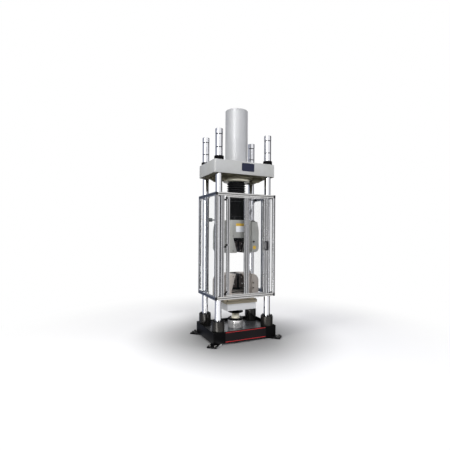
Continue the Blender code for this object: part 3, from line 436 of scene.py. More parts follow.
@dataclass
class Board:
    """A node tree, with a short way to add each kind of node that is used here."""

    tree: Tree

    def feed(self, target: Node, inputs: dict[str | int, Feed]) -> None:
        """Give a node's inputs a value or a link; three numbers make a full colour.

        Args:
            target: The node.
            inputs: Value or feeding socket of each input, by its name or number.
        """
        for key, value in inputs.items():
            socket = target.inputs[key]
            if isinstance(value, Socket):
                self.tree.links.new(value, socket)
            else:
                socket.default_value = (*value, 1.0) if socket.type == "RGBA" else value

    def node(self, kind: str, inputs: dict[str | int, Feed] | None = None, **settings: object) -> Node:
        """Add a node, with its settings, its values and its links.

        Args:
            kind: The node's type, without the word that all shader nodes share.
            inputs: Value or feeding socket of each input, by its name or number.
            settings: The node's own settings.

        Returns:
            The new node.
        """
        made = self.tree.nodes.new("ShaderNode" + kind)
        for key, value in settings.items():
            setattr(made, key, value)
        self.feed(made, inputs or {})
        return made

    def place(self) -> Socket:
        """Place on the object that the surface belongs to."""
        return self.node("TexCoord").outputs["Object"]

    def math(self, operation: str, *values: Feed) -> Socket:
        """Result of an operation on numbers."""
        return self.node("Math", dict(enumerate(values)), operation=operation).outputs[0]

    def vector(self, operation: str, *values: Feed) -> Node:
        """Node of an operation on vectors."""
        return self.node("VectorMath", dict(enumerate(values)), operation=operation)

    def mix(self, share: Feed, first: Feed, second: Feed) -> Socket:
        """Colour between two colours."""
        return self.node("Mix", {"Factor": share, 6: first, 7: second}, data_type="RGBA").outputs[2]

    def noise(self, place: Feed, scale: Feed, detail: float, roughness: float = 0.5) -> Socket:
        """Cloudy number at a place."""
        inputs = {"Vector": place, "Scale": scale, "Detail": detail, "Roughness": roughness}
        return self.node("TexNoise", inputs).outputs["Fac"]

    def ramp(
        self, value: Feed, start: float, end: float, ends: Pair = (0.0, 1.0), smooth: bool = False
    ) -> Socket:
        """Number that runs between two ends while a value runs from its start to its end.

        Args:
            value: The value that leads.
            start: The value's start.
            end: The value's end.
            ends: The number's start and end.
            smooth: Whether the number starts and ends slowly.

        Returns:
            The number.
        """
        inputs = {"Value": value, "From Min": start, "From Max": end, "To Min": ends[0], "To Max": ends[1]}
        way = "SMOOTHSTEP" if smooth else "LINEAR"
        return self.node("MapRange", inputs, interpolation_type=way).outputs["Result"]

    def bump(self, height: Feed, distance: Feed, strength: Feed) -> Socket:
        """Normal of a surface that a height disturbs."""
        inputs = {"Height": height, "Distance": distance, "Strength": strength}
        return self.node("Bump", inputs).outputs["Normal"]

    def group(self, effect: Tree, inputs: dict[str | int, Feed]) -> Node:
        """Place a shared group."""
        return self.node("Group", inputs, node_tree=effect)

    def give(self, **results: Socket) -> Tree:
        """Link results to the group's outputs.

        Args:
            results: Socket of each result, by the output's name.

        Returns:
            The group.
        """
        out = self.tree.nodes.new("NodeGroupOutput")
        for label, result in results.items():
            self.tree.links.new(result, out.inputs[label])
        return self.tree


def new_group(name: str, inputs: str, outputs: str) -> tuple[Board, bpy.types.NodeOutputs]:
    """Start a shader node group; the names of its sockets say what kind they are.

    Args:
        name: The group's name.
        inputs: Names of its inputs.
        outputs: Names of its outputs.

    Returns:
        The group's board, and the sockets that its inputs give.
    """
    group = bpy.data.node_groups.new(name, "ShaderNodeTree")
    for way, labels in (("INPUT", inputs), ("OUTPUT", outputs)):
        for label in labels.split():
            kind = "Color" if label in COLOURS else "Vector" if label in VECTORS else "Float"
            group.interface.new_socket(name=label, in_out=way, socket_type="NodeSocket" + kind)
    return Board(group), group.nodes.new("NodeGroupInput").outputs


@dataclass
class Effects:
    """Node groups that the finishes share, each built once."""

    tone: Tree = field(init=False)
    texture: Tree = field(init=False)
    grain: Tree = field(init=False)
    wear_and_highlight: Tree = field(init=False)
    dust: Tree = field(init=False)

    def __post_init__(self) -> None:
        """Build every group."""
        self.tone = self.make_tone()
        self.texture = self.make_texture()
        self.grain = self.make_grain()
        self.wear_and_highlight = self.make_wear_and_highlight()
        self.dust = self.make_dust()

    def make_tone(self) -> Tree:
        """Slow change of colour and gloss over a surface, as handling and cleaning leave.

        Returns:
            The group.
        """
        board, given = new_group("uneven_tone", "Colour Stain Scale Amount Roughness", "Colour Roughness")
        cloud = board.noise(board.place(), given["Scale"], detail=5.0, roughness=0.6)
        share = board.math("MULTIPLY", board.ramp(cloud, 0.42, 0.72), given["Amount"])
        swing = board.math("MULTIPLY", share, 0.35)
        return board.give(Colour=board.mix(share, given["Colour"], given["Stain"]),
                          Roughness=board.math("ADD", given["Roughness"], swing))

    def make_texture(self) -> Tree:
        """Fine bumps of sprayed or baked paint, cast metal and rubber.

        Returns:
            The group.
        """
        board, given = new_group("fine_texture", "Scale Height Strength", "Normal")
        cells = board.noise(board.place(), given["Scale"], detail=2.0)
        return board.give(Normal=board.bump(cells, given["Height"], given["Strength"]))

    def make_grain(self) -> Tree:
        """Fine parallel lines that turning, drawing or grinding leaves on metal.

        Returns:
            The group.
        """
        board, given = new_group("machined_grain", "Stretch Roughness Swing Height", "Roughness Normal")
        along = board.vector("MULTIPLY", board.place(), given["Stretch"]).outputs[0]
        lines = board.noise(along, 1.0, detail=3.0, roughness=0.7)
        centred = board.math("SUBTRACT", lines, 0.5)
        gloss = board.math("MULTIPLY_ADD", centred, given["Swing"], given["Roughness"])
        return board.give(Roughness=gloss, Normal=board.bump(lines, given["Height"], 0.35))

    def make_wear_and_highlight(self) -> Tree:
        """Colour that shows along edges in uneven patches: worn paint, and where that colour is lighter, a
        painted highlight on the edges.

        Returns:
            The group.
        """
        board, given = new_group("edge_wear_and_highlight", "Colour Cover Width Amount", "Colour")
        rounded = board.node("Bevel", {"Radius": given["Width"]}, samples=4)
        flat = board.node("NewGeometry")
        facing = board.vector("DOT_PRODUCT", rounded.outputs["Normal"], flat.outputs["Normal"])
        edge = board.ramp(facing.outputs["Value"], 0.995, 0.90)
        patches = board.ramp(board.noise(board.place(), 18.0, detail=4.0), 0.40, 0.62)
        return self.covered(board, given, edge, patches)

    def make_dust(self) -> Tree:
        """Thin pale dust that settles on faces that look up.

        Returns:
            The group.
        """
        board, given = new_group("settled_dust", "Colour Cover Amount", "Colour")
        normal = board.node("NewGeometry").outputs["Normal"]
        upward = board.ramp(board.node("SeparateXYZ", {0: normal}).outputs["Z"], 0.55, 0.98)
        drift = board.noise(board.place(), 9.0, detail=6.0, roughness=0.65)
        return self.covered(board, given, upward, board.ramp(drift, 0.30, 0.75))

    def covered(self, board: Board, given: bpy.types.NodeOutputs, place: Socket, patch: Socket) -> Tree:
        """End a group that covers its colour with another in patches.

        Args:
            board: The group's board.
            given: What the group's inputs give.
            place: Mask of where the cover can lie.
            patch: Mask of the patches there.

        Returns:
            The group.
        """
        mask = board.math("MULTIPLY", board.math("MULTIPLY", place, patch), given["Amount"])
        return board.give(Colour=board.mix(mask, given["Colour"], given["Cover"]))


@dataclass(frozen=True)
class Finish:
    """A surface finish of the machine.

    Attributes:
        name: The finish's name.
        colour: Its main colour, as linear light.
        roughness: How matt it is.
        grain: Its fine structure.
        metallic: How far it is bare metal.
        stain: Colour of its slow uneven tone.
        unevenness: How strong that tone is.
        bare_and_highlight: Colour that shows along edges: worn paint, and where it is lighter than the
            finish, a painted edge highlight.
        wear_and_highlight: How strongly the worn and highlighted edges show.
        dust: How much dust lies on its upper faces.
        stretch: Density of its machined lines along X, Y and Z.
        coat: Weight of a clear coat.
        gloss: Strength of its reflection where it isn't metal.
    """

    name: str
    colour: Colour
    roughness: float
    grain: Grain
    metallic: float = 0.0
    stain: Colour = (0.30, 0.29, 0.27)
    unevenness: float = 0.12
    bare_and_highlight: Colour = (0.42, 0.42, 0.41)
    wear_and_highlight: float = 0.0
    dust: float = 0.0
    stretch: Place = (0.0, 0.0, 900.0)
    coat: float = 0.0
    gloss: float = 0.5

    def build(self, effects: Effects) -> bpy.types.Material:
        """Make the Blender material of this finish.

        Args:
            effects: The shared node groups.

        Returns:
            The material.
        """
        material = bpy.data.materials.new(self.name)
        material.use_nodes = True
        board = Board(material.node_tree)
        colour, roughness = self.tone(board, effects)
        inputs = {"Base Color": colour, "Roughness": roughness, "Metallic": self.metallic,
                  "Coat Weight": self.coat, "Coat Roughness": 0.12, "Specular IOR Level": self.gloss}
        if self.grain is Grain.CLEAR:
            slant = board.node("Fresnel", {"IOR": 1.49}).outputs[0]
            inputs["Alpha"] = board.ramp(slant, 0.03, 0.75, ends=(0.003, 0.14))
        elif self.grain in (Grain.TURNED, Grain.DRAWN, Grain.GROUND):
            lines = board.group(effects.grain, {
                "Stretch": self.stretch, "Swing": 0.10, "Height": 0.00006, "Roughness": roughness})
            inputs["Roughness"], inputs["Normal"] = lines.outputs
        else:
            scale, height, strength = {
                Grain.PAINT: (420.0, 0.00012, 0.18),
                Grain.POWDER: (900.0, 0.00020, 0.35),
                Grain.RUBBER: (600.0, 0.00020, 0.30),
            }[self.grain]
            bumps = board.group(effects.texture, {"Scale": scale, "Height": height, "Strength": strength})
            inputs["Normal"] = bumps.outputs["Normal"]
        board.feed(material.node_tree.nodes["Principled BSDF"], inputs)
        return material

    def tone(self, board: Board, effects: Effects) -> tuple[Socket, Socket]:
        """Colour and roughness with uneven tone, then worn edges with their painted highlight, then dust.

        Args:
            board: The material's board.
            effects: The shared node groups.

        Returns:
            The sockets that give the colour and the roughness.
        """
        tone = board.group(effects.tone, {
            "Colour": self.colour, "Stain": self.stain, "Scale": 3.2, "Amount": self.unevenness,
            "Roughness": self.roughness})
        colour, roughness = tone.outputs
        # Edges: worn paint, and where the edge colour is lighter, a painted highlight.
        if self.wear_and_highlight:
            inputs = {"Colour": colour, "Cover": self.bare_and_highlight, "Width": 0.004, "Amount": self.wear_and_highlight}
            colour = board.group(effects.wear_and_highlight, inputs).outputs[0]
        if self.dust:
            inputs = {"Colour": colour, "Cover": (0.46, 0.45, 0.43), "Amount": self.dust}
            colour = board.group(effects.dust, inputs).outputs[0]
        return colour, roughness


FINISHES = {
    finish.name: finish
    for finish in (
        Finish("black_paint", (0.003, 0.003, 0.0035), 0.33, Grain.PAINT, stain=(0.006, 0.0056, 0.0052),
               unevenness=0.5, bare_and_highlight=(0.13, 0.13, 0.14), wear_and_highlight=0.5, dust=0.006, gloss=0.03),
        Finish("plate_grey", (0.050, 0.053, 0.058), 0.24, Grain.GROUND, metallic=0.35,
               stain=(0.030, 0.031, 0.034), unevenness=0.7, dust=0.10, stretch=(700.0, 30.0, 30.0)),
        Finish("chrome", (0.86, 0.865, 0.89), 0.08, Grain.TURNED, metallic=1.0,
               stain=(0.70, 0.70, 0.74), unevenness=0.25),
        Finish("dark_steel", (0.046, 0.045, 0.043), 0.16, Grain.TURNED, metallic=0.85,
               stain=(0.036, 0.032, 0.027), unevenness=0.8, bare_and_highlight=(0.35, 0.34, 0.33), wear_and_highlight=0.5, gloss=0.3),
        Finish("beige_paint", (0.450, 0.455, 0.455), 0.36, Grain.PAINT, stain=(0.37, 0.37, 0.34),
               unevenness=0.7, bare_and_highlight=(0.80, 0.80, 0.80), wear_and_highlight=0.35, dust=0.15, coat=0.45, gloss=0.3),
        # Painted shade: a darker olive copy of the beige paint for the crosshead's underside, boss and
        # ribs, where the slab's shade falls.
        Finish("painted_shade_underside", (0.26, 0.24, 0.175), 0.60, Grain.PAINT, stain=(0.17, 0.15, 0.10),
               unevenness=0.6, gloss=0.06),
        Finish("silver_paint", (0.48, 0.485, 0.495), 0.40, Grain.DRAWN, metallic=0.32,
               stain=(0.40, 0.41, 0.395), unevenness=0.3, stretch=(260.0, 260.0, 2.0)),
        Finish("cream_paint", (0.84, 0.81, 0.67), 0.38, Grain.PAINT, stain=(0.62, 0.57, 0.42),
               unevenness=0.4, wear_and_highlight=0.2),
        # Painted shade: a darker olive copy of the cream paint for the grip flange, in the shade under the
        # lower grip.
        Finish("painted_shade_cream", (0.50, 0.44, 0.325), 0.42, Grain.PAINT, stain=(0.36, 0.31, 0.22),
               unevenness=0.5, wear_and_highlight=0.2, dust=0.05),
        Finish("grip_grey", (0.365, 0.370, 0.350), 0.42, Grain.PAINT, stain=(0.250, 0.250, 0.225),
               unevenness=0.5, bare_and_highlight=(0.42, 0.42, 0.40), wear_and_highlight=0.4, dust=0.1),
        Finish("grip_beige", (0.43, 0.395, 0.365), 0.42, Grain.PAINT, stain=(0.31, 0.27, 0.24),
               unevenness=0.6, bare_and_highlight=(0.46, 0.44, 0.41), wear_and_highlight=0.4, dust=0.1),
        Finish("jaw_steel", (0.030, 0.026, 0.025), 0.32, Grain.GROUND, metallic=0.85,
               stain=(0.075, 0.055, 0.052), unevenness=0.6, bare_and_highlight=(0.45, 0.43, 0.42), wear_and_highlight=0.7,
               stretch=(30.0, 30.0, 700.0)),
        Finish("off_white", (0.76, 0.77, 0.78), 0.40, Grain.PAINT, stain=(0.62, 0.62, 0.61),
               unevenness=0.4, bare_and_highlight=(0.40, 0.40, 0.38), wear_and_highlight=0.25, dust=0.1),
        Finish("bright_steel", (0.88, 0.87, 0.86), 0.26, Grain.TURNED, metallic=0.75,
               stain=(0.42, 0.41, 0.40), unevenness=0.7),
        Finish("bellows_rubber", (0.006, 0.006, 0.007), 0.55, Grain.RUBBER,
               stain=(0.013, 0.013, 0.014), unevenness=0.6, dust=0.03, gloss=0.25),
        # Three copies of one aluminium, each with its own grain direction: the plain one for uprights, a
        # lighter one across the front that is painted light, and a darker bluish one along the sides that
        # is painted shade.
        Finish("aluminium", (0.47, 0.47, 0.475), 0.25, Grain.DRAWN, metallic=0.95,
               stain=(0.36, 0.365, 0.38), unevenness=0.35, stretch=(500.0, 500.0, 3.0)),
        Finish("aluminium_across_painted_light", (0.66, 0.65, 0.63), 0.25, Grain.DRAWN, metallic=0.95,
               stain=(0.48, 0.49, 0.52), unevenness=0.35, stretch=(3.0, 500.0, 500.0)),
        Finish("aluminium_along_painted_shade", (0.27, 0.29, 0.33), 0.25, Grain.DRAWN, metallic=0.95,
               stain=(0.20, 0.22, 0.26), unevenness=0.35, stretch=(500.0, 3.0, 500.0)),
        Finish("clear_panel", (0.45, 0.51, 0.53), 0.03, Grain.CLEAR, stain=(0.41, 0.46, 0.48)),
        Finish("navy_plate", (0.010, 0.013, 0.034), 0.28, Grain.PAINT, stain=(0.020, 0.022, 0.045),
               unevenness=0.4, gloss=0.3),
        Finish("label_black", (0.008, 0.006, 0.007), 0.38, Grain.PAINT, stain=(0.016, 0.012, 0.012),
               unevenness=0.4, gloss=0.10),
        Finish("stripe_red", (0.46, 0.018, 0.022), 0.40, Grain.PAINT, stain=(0.30, 0.015, 0.018),
               unevenness=0.4),
        Finish("label_white", (0.88, 0.90, 0.93), 0.42, Grain.PAINT, stain=(0.76, 0.77, 0.80),
               unevenness=0.3),
        Finish("label_yellow", (0.72, 0.46, 0.055), 0.42, Grain.PAINT, stain=(0.58, 0.36, 0.05),
               unevenness=0.4),
        Finish("plastic_black", (0.012, 0.012, 0.014), 0.45, Grain.POWDER, stain=(0.022, 0.022, 0.024),
               unevenness=0.4, gloss=0.3),
        Finish("olive_fitting", (0.13, 0.11, 0.060), 0.38, Grain.TURNED, metallic=0.7,
               stain=(0.09, 0.075, 0.045), unevenness=0.5),
    )
}


@dataclass
class Shop:
    """Where the pieces get their finish and their body."""

    effects: Effects = field(default_factory=Effects)
    materials: dict[str, bpy.types.Material] = field(default_factory=dict)

    def material(self, finish: str) -> bpy.types.Material:
        """Material of a finish, built when it is first asked for.

        Args:
            finish: The finish's name.

        Returns:
            The material.
        """
        if finish not in self.materials:
            self.materials[finish] = FINISHES[finish].build(self.effects)
        return self.materials[finish]

    def piece(
        self, name: str, forms: Forms, slot: str, replaced: str = "", body: str = "frame",
        smooth: float = SHARP,
    ) -> bpy.types.Object:
        """Join forms into one piece that rides on a body.

        Args:
            name: The piece's name.
            forms: Each closed form with the name of its finish; the forms are freed.
            slot: Name of the piece's main finish; not used.
            replaced: The frame's node that it stands for, or an empty word for none.
            body: The body that it moves with, or an empty word for none.
            smooth: Faces that meet at less than this angle are shaded as one.

        Returns:
            The finished object.
        """
        whole = bmesh.new()
        used: list[str] = []
        for form, finish in forms:
            if finish not in used:
                used.append(finish)
            for face in form.faces:
                face.material_index = used.index(finish)
            part = bpy.data.meshes.new("part")
            form.to_mesh(part)
            form.free()
            whole.from_mesh(part)
            bpy.data.meshes.remove(part)
        made = loose_object(name, whole)
        for finish in used:
            made.data.materials.append(self.material(finish))
        made.data.shade_smooth()
        made.data.set_sharp_from_angle(angle=smooth)
        if replaced:
            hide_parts(replaced)
        if body:
            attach(made, body)
        log.info("%s: %d faces in %s", name, len(made.data.polygons), ", ".join(used))
        return made

    def dress(self, name: str, finish: str) -> None:
        """Give a node that stays in view its finish.

        Args:
            name: The node's name.
            finish: The finish's name.
        """
        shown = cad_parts[name]
        shown.data.materials.clear()
        shown.data.materials.append(self.material(finish))
        log.info("%s: kept, in %s", name, finish)


@dataclass
class Base:
    """Base plate, the sheet skirt round it, its label and the four feet."""

    shop: Shop
    skirt_wall: float = 0.0035
    skirt_corner: float = 0.010
    foot_length: float = 0.210
    foot_width: float = 0.132
    foot_edge: float = 0.0035
    bolt_radius: float = 0.017
    bolt_height: float = 0.013
    washer_radius: float = 0.025
    washer_height: float = 0.004
    bolt_from_end: float = 0.030
    bolt_spread: float = 0.036
    label_edge: float = 0.0004
    stripe_height: float = 0.0085
    stripe_inset: float = 0.004

    def build(self) -> None:
        """Make every piece of the base."""
        self.shop.dress("base_plate", "plate_grey")
        self.skirt()
        for corner in Corner:
            self.foot(corner)
        self.label()

    def skirt(self) -> None:
        """Folded sheet with rounded corners and a thin top rim."""
        low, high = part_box("base_skirt")
        outline = rounded_rectangle(low.xy, high.xy, self.skirt_corner)
        form = prism(outline, Plane.XY, low.z, high.z)
        caps = [f for f in form.faces if abs(f.normal.z) > 0.9]
        bmesh.ops.delete(form, geom=caps, context="FACES_ONLY")
        bmesh.ops.solidify(form, geom=form.faces[:], thickness=self.skirt_wall)
        bmesh.ops.recalc_face_normals(form, faces=form.faces)
        reach = max(abs(v.co.x) for v in form.verts)
        if reach > high.x + FIT:
            shrink = high.x / reach
            bmesh.ops.scale(form, vec=(shrink, shrink, 1.0), verts=form.verts)
        soften(form, self.skirt_wall * 0.3)
        self.shop.piece("base_skirt_sheet", [(form, "black_paint")], "black_paint", "base_skirt")

    def foot(self, corner: Corner) -> None:
        """Foot plate along the diagonal, with two anchor bolts on their washers.

        Args:
            corner: The corner that it stands at.
        """
        low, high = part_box("foot_" + corner.word)
        middle = (low + high) / 2
        top = high.z - low.z
        half = (self.foot_length / 2, self.foot_width / 2)
        forms = [(block((-half[0], -half[1], 0.0), (*half, top), self.foot_edge), "black_paint")]
        for across in (-self.bolt_spread, self.bolt_spread):
            along = half[0] - self.bolt_from_end
            washer = rod(self.washer_radius, 0.0, self.washer_height, self.washer_height / 4)
            head = (along, across, top + self.washer_height)
            forms.append((turned(washer, (along, across, top), 32), "dark_steel"))
            forms.append((hex_bolt(head, self.bolt_radius, self.bolt_height), "dark_steel"))
        side_x, side_y = corner.value
        turn = Matrix.Rotation(math.atan2(side_y, side_x), 4, "Z")
        for form, _ in forms:
            move = Matrix.Translation((middle.x, middle.y, low.z)) @ turn
            bmesh.ops.transform(form, matrix=move, verts=form.verts)
        self.shop.piece(f"foot_plate_{corner.word}", forms, "black_paint", "foot_" + corner.word)

    def label(self) -> None:
        """Blank black plate with a thin red stripe along its top and its bottom."""
        low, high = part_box("front_label")
        plate = block((low.x, low.y + FIT, low.z), tuple(high), self.label_edge)
        forms = [(plate, "label_black")]
        inset = self.stripe_inset
        for level in (low.z + inset, high.z - inset - self.stripe_height):
            stripe = block((low.x + inset, low.y, level),
                           (high.x - inset, high.y - 2 * FIT, level + self.stripe_height))
            forms.append((stripe, "stripe_red"))
        self.shop.piece("front_label_plate", forms, "label_black", "front_label")


@dataclass
class Column:
    """A chrome column with its collar, ring and nut."""

    shop: Shop
    corner: Corner
    centre: Place = field(init=False)
    radius: float = field(init=False)
    thread_radius: float = 0.0375
    shoulder_level: float = 2.2747
    shoulder_edge: float = 0.002
    collar_edge: float = 0.005
    collar_bolts: int = 8
    bolt_circle: float = 0.0655
    bolt_radius: float = 0.012
    bolt_height: float = 0.015
    ring_bore: float = 0.0503
    ring_edge: float = 0.006
    nut_bore: float = 0.0378
    nut_floor: float = 0.033
    cap_lip: float = 0.0015
    groove_levels: Pair = (0.161, 0.333)
    groove_width: float = 0.013
    groove_depth: float = 0.003
    groove_shade_thickness: float = 0.0008
    groove_shade_share: float = 0.58
    nut_edge: float = 0.005
    bar_hole_radius: float = 0.006
    bar_hole_depth: float = 0.010
    bar_hole_below_top: float = 0.046

    def __post_init__(self) -> None:
        """Find the column's axis and radius."""
        self.centre, self.radius = upright("column_" + self.corner.word)

    def build(self) -> None:
        """Make the column and what is on it."""
        self.column()
        self.collar()
        self.ring()
        self.nut()

    def column(self) -> None:
        """Ground and chromed bar with a shoulder under its thread."""
        name = "column_" + self.corner.word
        low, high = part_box(name)
        radius, thread, shoulder = self.radius, self.thread_radius, self.shoulder_level
        profile = [(0.0, high.z), (thread, high.z), (thread, shoulder),
                   *top_rim(radius, shoulder, self.shoulder_edge, 3), (radius, low.z), (0.0, low.z)]
        form = turned(profile, self.centre, 96)
        self.shop.piece("chrome_" + name, [(form, "chrome")], "chrome", name)

    def collar(self) -> None:
        """Heavy clamping collar with a ring of socket screws on top."""
        name = "column_collar_" + self.corner.word
        low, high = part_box(name)
        top = high.z - self.bolt_height
        profile = tube(self.radius + FIT, upright(name)[1], low.z, top, self.collar_edge, 4)
        forms = [(turned(profile, self.centre, 96, ring=True), "dark_steel")]
        for x, y in circle_places(self.bolt_circle, self.collar_bolts, 180 / self.collar_bolts):
            head = (self.centre[0] + x, self.centre[1] + y, top - FIT)
            forms.append((cap_screw(head, self.bolt_radius, self.bolt_height), "black_paint"))
        self.shop.piece("clamp_collar_" + self.corner.word, forms, "dark_steel", name)

    def ring(self) -> None:
        """Black locking ring at the nut's foot."""
        name = "column_ring_" + self.corner.word
        low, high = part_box(name)
        profile = tube(self.ring_bore + FIT, upright(name)[1], low.z, high.z, self.ring_edge, 4)
        forms = [(turned(profile, self.centre, 72, ring=True), "black_paint")]
        self.shop.piece("locking_ring_" + self.corner.word, forms, "black_paint", name)

    def nut(self) -> None:
        """Long nut with two grooves, a wider cap and holes for a tommy bar, with a thin black ring of
        painted shade in each groove.
        """
        name = "column_nut_" + self.corner.word
        centre = self.centre
        low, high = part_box(name)
        cap = upright(name)[1]
        shank = cap - self.cap_lip
        groove = shank - self.groove_depth
        half = self.groove_width / 2
        inner_top = high.z - self.nut_floor
        profile = [(0.0, high.z), *top_rim(cap, high.z, self.nut_edge)]
        radius = cap
        lines = []
        for rise in reversed(self.groove_levels):
            middle = low.z + rise
            profile += [(radius, middle + half), (groove, middle + half * 0.6),
                        (groove, middle - half * 0.6), (shank, middle - half)]
            radius = shank
            # A thin black ring in each groove paints the shade in the groove.
            tall = half * self.groove_shade_share
            line = [(groove - FIT, middle + tall), (groove + self.groove_shade_thickness, middle + tall),
                    (groove + self.groove_shade_thickness, middle - tall), (groove - FIT, middle - tall)]
            lines.insert(0, (turned(line, centre, 72, ring=True), "black_paint"))
        profile += [(shank, low.z), (self.nut_bore, low.z), (self.nut_bore, inner_top), (0.0, inner_top)]
        drill = rod(self.bar_hole_radius, 0.0, 2 * self.bar_hole_depth)
        holes = []
        for x, y in circle_places(1.0, 4, 30):
            reach = cap - self.bar_hole_depth
            start = (centre[0] + x * reach, centre[1] + y * reach, high.z - self.bar_hole_below_top)
            holes.append(turned(drill, start, 20, axis=(x, y, 0.0)))
        forms = [(carve(turned(profile, centre, 72), holes), "chrome"), *lines]
        self.shop.piece("long_nut_" + self.corner.word, forms, "chrome", name)


@dataclass
class Crosshead:
    """Top crosshead slab with its boss, ribs and blank plate."""

    shop: Shop
    slab_bottom: float = 2.255
    corner: float = 0.028
    edge: float = 0.005
    bore: float = 0.0378
    counterbore: float = 0.052
    counterbore_depth: float = 0.020
    cut_past: float = 0.1
    # How far the sheet of painted shade under the slab reaches below and above its bottom.
    shade_depth: float = 0.0004
    shade_root: float = 0.001
    cast_root: float = 0.010
    boss_radius: float = 0.235
    boss_depth: float = 0.0297
    boss_edge: float = 0.004
    rib_starts: float = 0.200
    rib_flat: float = 0.100
    rib_slope: float = 0.070
    rib_depth: float = 0.065
    rib_end_depth: float = 0.028
    rib_thickness: float = 0.024
    rib_rounds: Place = (0.004, 0.020, 0.006)
    rib_edge: float = 0.003
    rib_pitch: float = 0.100
    plate_corner: float = 0.004
    plate_edge: float = 0.0004
    rivet_inset: float = 0.008
    rivet_radius: float = 0.0028
    rivet_flatness: float = 0.10

    def build(self) -> None:
        """Make the crosshead and its plate."""
        self.slab()
        self.plate()

    def slab(self) -> None:
        """Thick slab with rounded corners, bored for the columns and the cylinder."""
        low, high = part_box("top_crosshead")
        bottom = self.slab_bottom
        slab = prism(rounded_rectangle(low.xy, high.xy, self.corner, 8), Plane.XY, bottom, high.z)
        soften(slab, self.edge, 3, level_in(2))
        slab = carve(slab, self.bores(self.bore, high.z + self.cut_past) + self.counterbores())
        # The thin sheet just under the slab, the boss and the ribs take the painted-shade finish, which
        # stands for the shade under the slab.
        inset = Vector((self.edge, self.edge))
        outline = rounded_rectangle(low.xy + inset, high.xy - inset, self.corner - self.edge, 8)
        sheet = prism(outline, Plane.XY, bottom - self.shade_depth, bottom + self.shade_root)
        inside = bottom + self.cast_root
        boss = turned(rod(self.boss_radius, bottom - self.boss_depth, inside, self.boss_edge), steps=128)
        forms = [(slab, "beige_paint"), (carve(sheet, self.counterbores()), "painted_shade_underside"),
                 (boss, "painted_shade_underside")]
        for side in Side:
            for number in (-1, 0, 1):
                rib = self.rib(side.value, number * self.rib_pitch, inside)
                forms.append((rib, "painted_shade_underside"))
        self.shop.piece("crosshead_casting", forms, "beige_paint", "top_crosshead")

    def bores(self, radius: float, top: float) -> list[Form]:
        """Upright cutters from under the slab at the four columns."""
        profile = rod(radius, self.slab_bottom - self.cut_past, top)
        return [turned(profile, upright("column_" + corner.word)[0]) for corner in Corner]

    def counterbores(self) -> list[Form]:
        """Cutters for the round recesses that the columns' shoulders enter."""
        return self.bores(self.counterbore, self.slab_bottom + self.counterbore_depth)

    def rib(self, side: int, level: float, inside: float) -> Form:
        """Stiffening rib under the slab, from the gland outwards.

        Args:
            side: Sign of X on its side.
            level: Y of its middle.
            inside: Level inside the slab that it starts from.

        Returns:
            The closed form.
        """
        flat_end = self.rib_starts + self.rib_flat
        end = flat_end + self.rib_slope
        bottom = self.slab_bottom - self.rib_depth
        rounds = self.rib_rounds
        corners = [
            (side * self.rib_starts, inside, 0.0), (side * self.rib_starts, bottom, rounds[0]),
            (side * flat_end, bottom, rounds[1]),
            (side * end, self.slab_bottom - self.rib_end_depth, rounds[2]), (side * end, inside, 0.0),
        ]
        half = self.rib_thickness / 2
        form = prism(fillet(corners, 5), Plane.XZ, level - half, level + half)
        return soften(form, self.rib_edge, 2, level_in(1))

    def plate(self) -> None:
        """Blank dark plate with softened edges and four rivets."""
        low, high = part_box("nameplate")
        outline = rounded_rectangle((low.x, low.z), (high.x, high.z), self.plate_corner, 4)
        form = prism(outline, Plane.XZ, low.y + FIT, high.y)
        forms = [(soften(form, self.plate_edge, 1), "navy_plate")]
        for x in (low.x + self.rivet_inset, high.x - self.rivet_inset):
            for z in (low.z + self.rivet_inset, high.z - self.rivet_inset):
                head = arc((0.0, 0.0), self.rivet_radius, 90, 0, 4)
                dome = [(r, h * self.rivet_flatness) for r, h in head] + [(0.0, 0.0)]
                rivet = turned(dome, (x, low.y + FIT, z), 16, axis=FORWARD)
                forms.append((rivet, "bright_steel"))
        self.shop.piece("blank_plate", forms, "navy_plate", "nameplate")


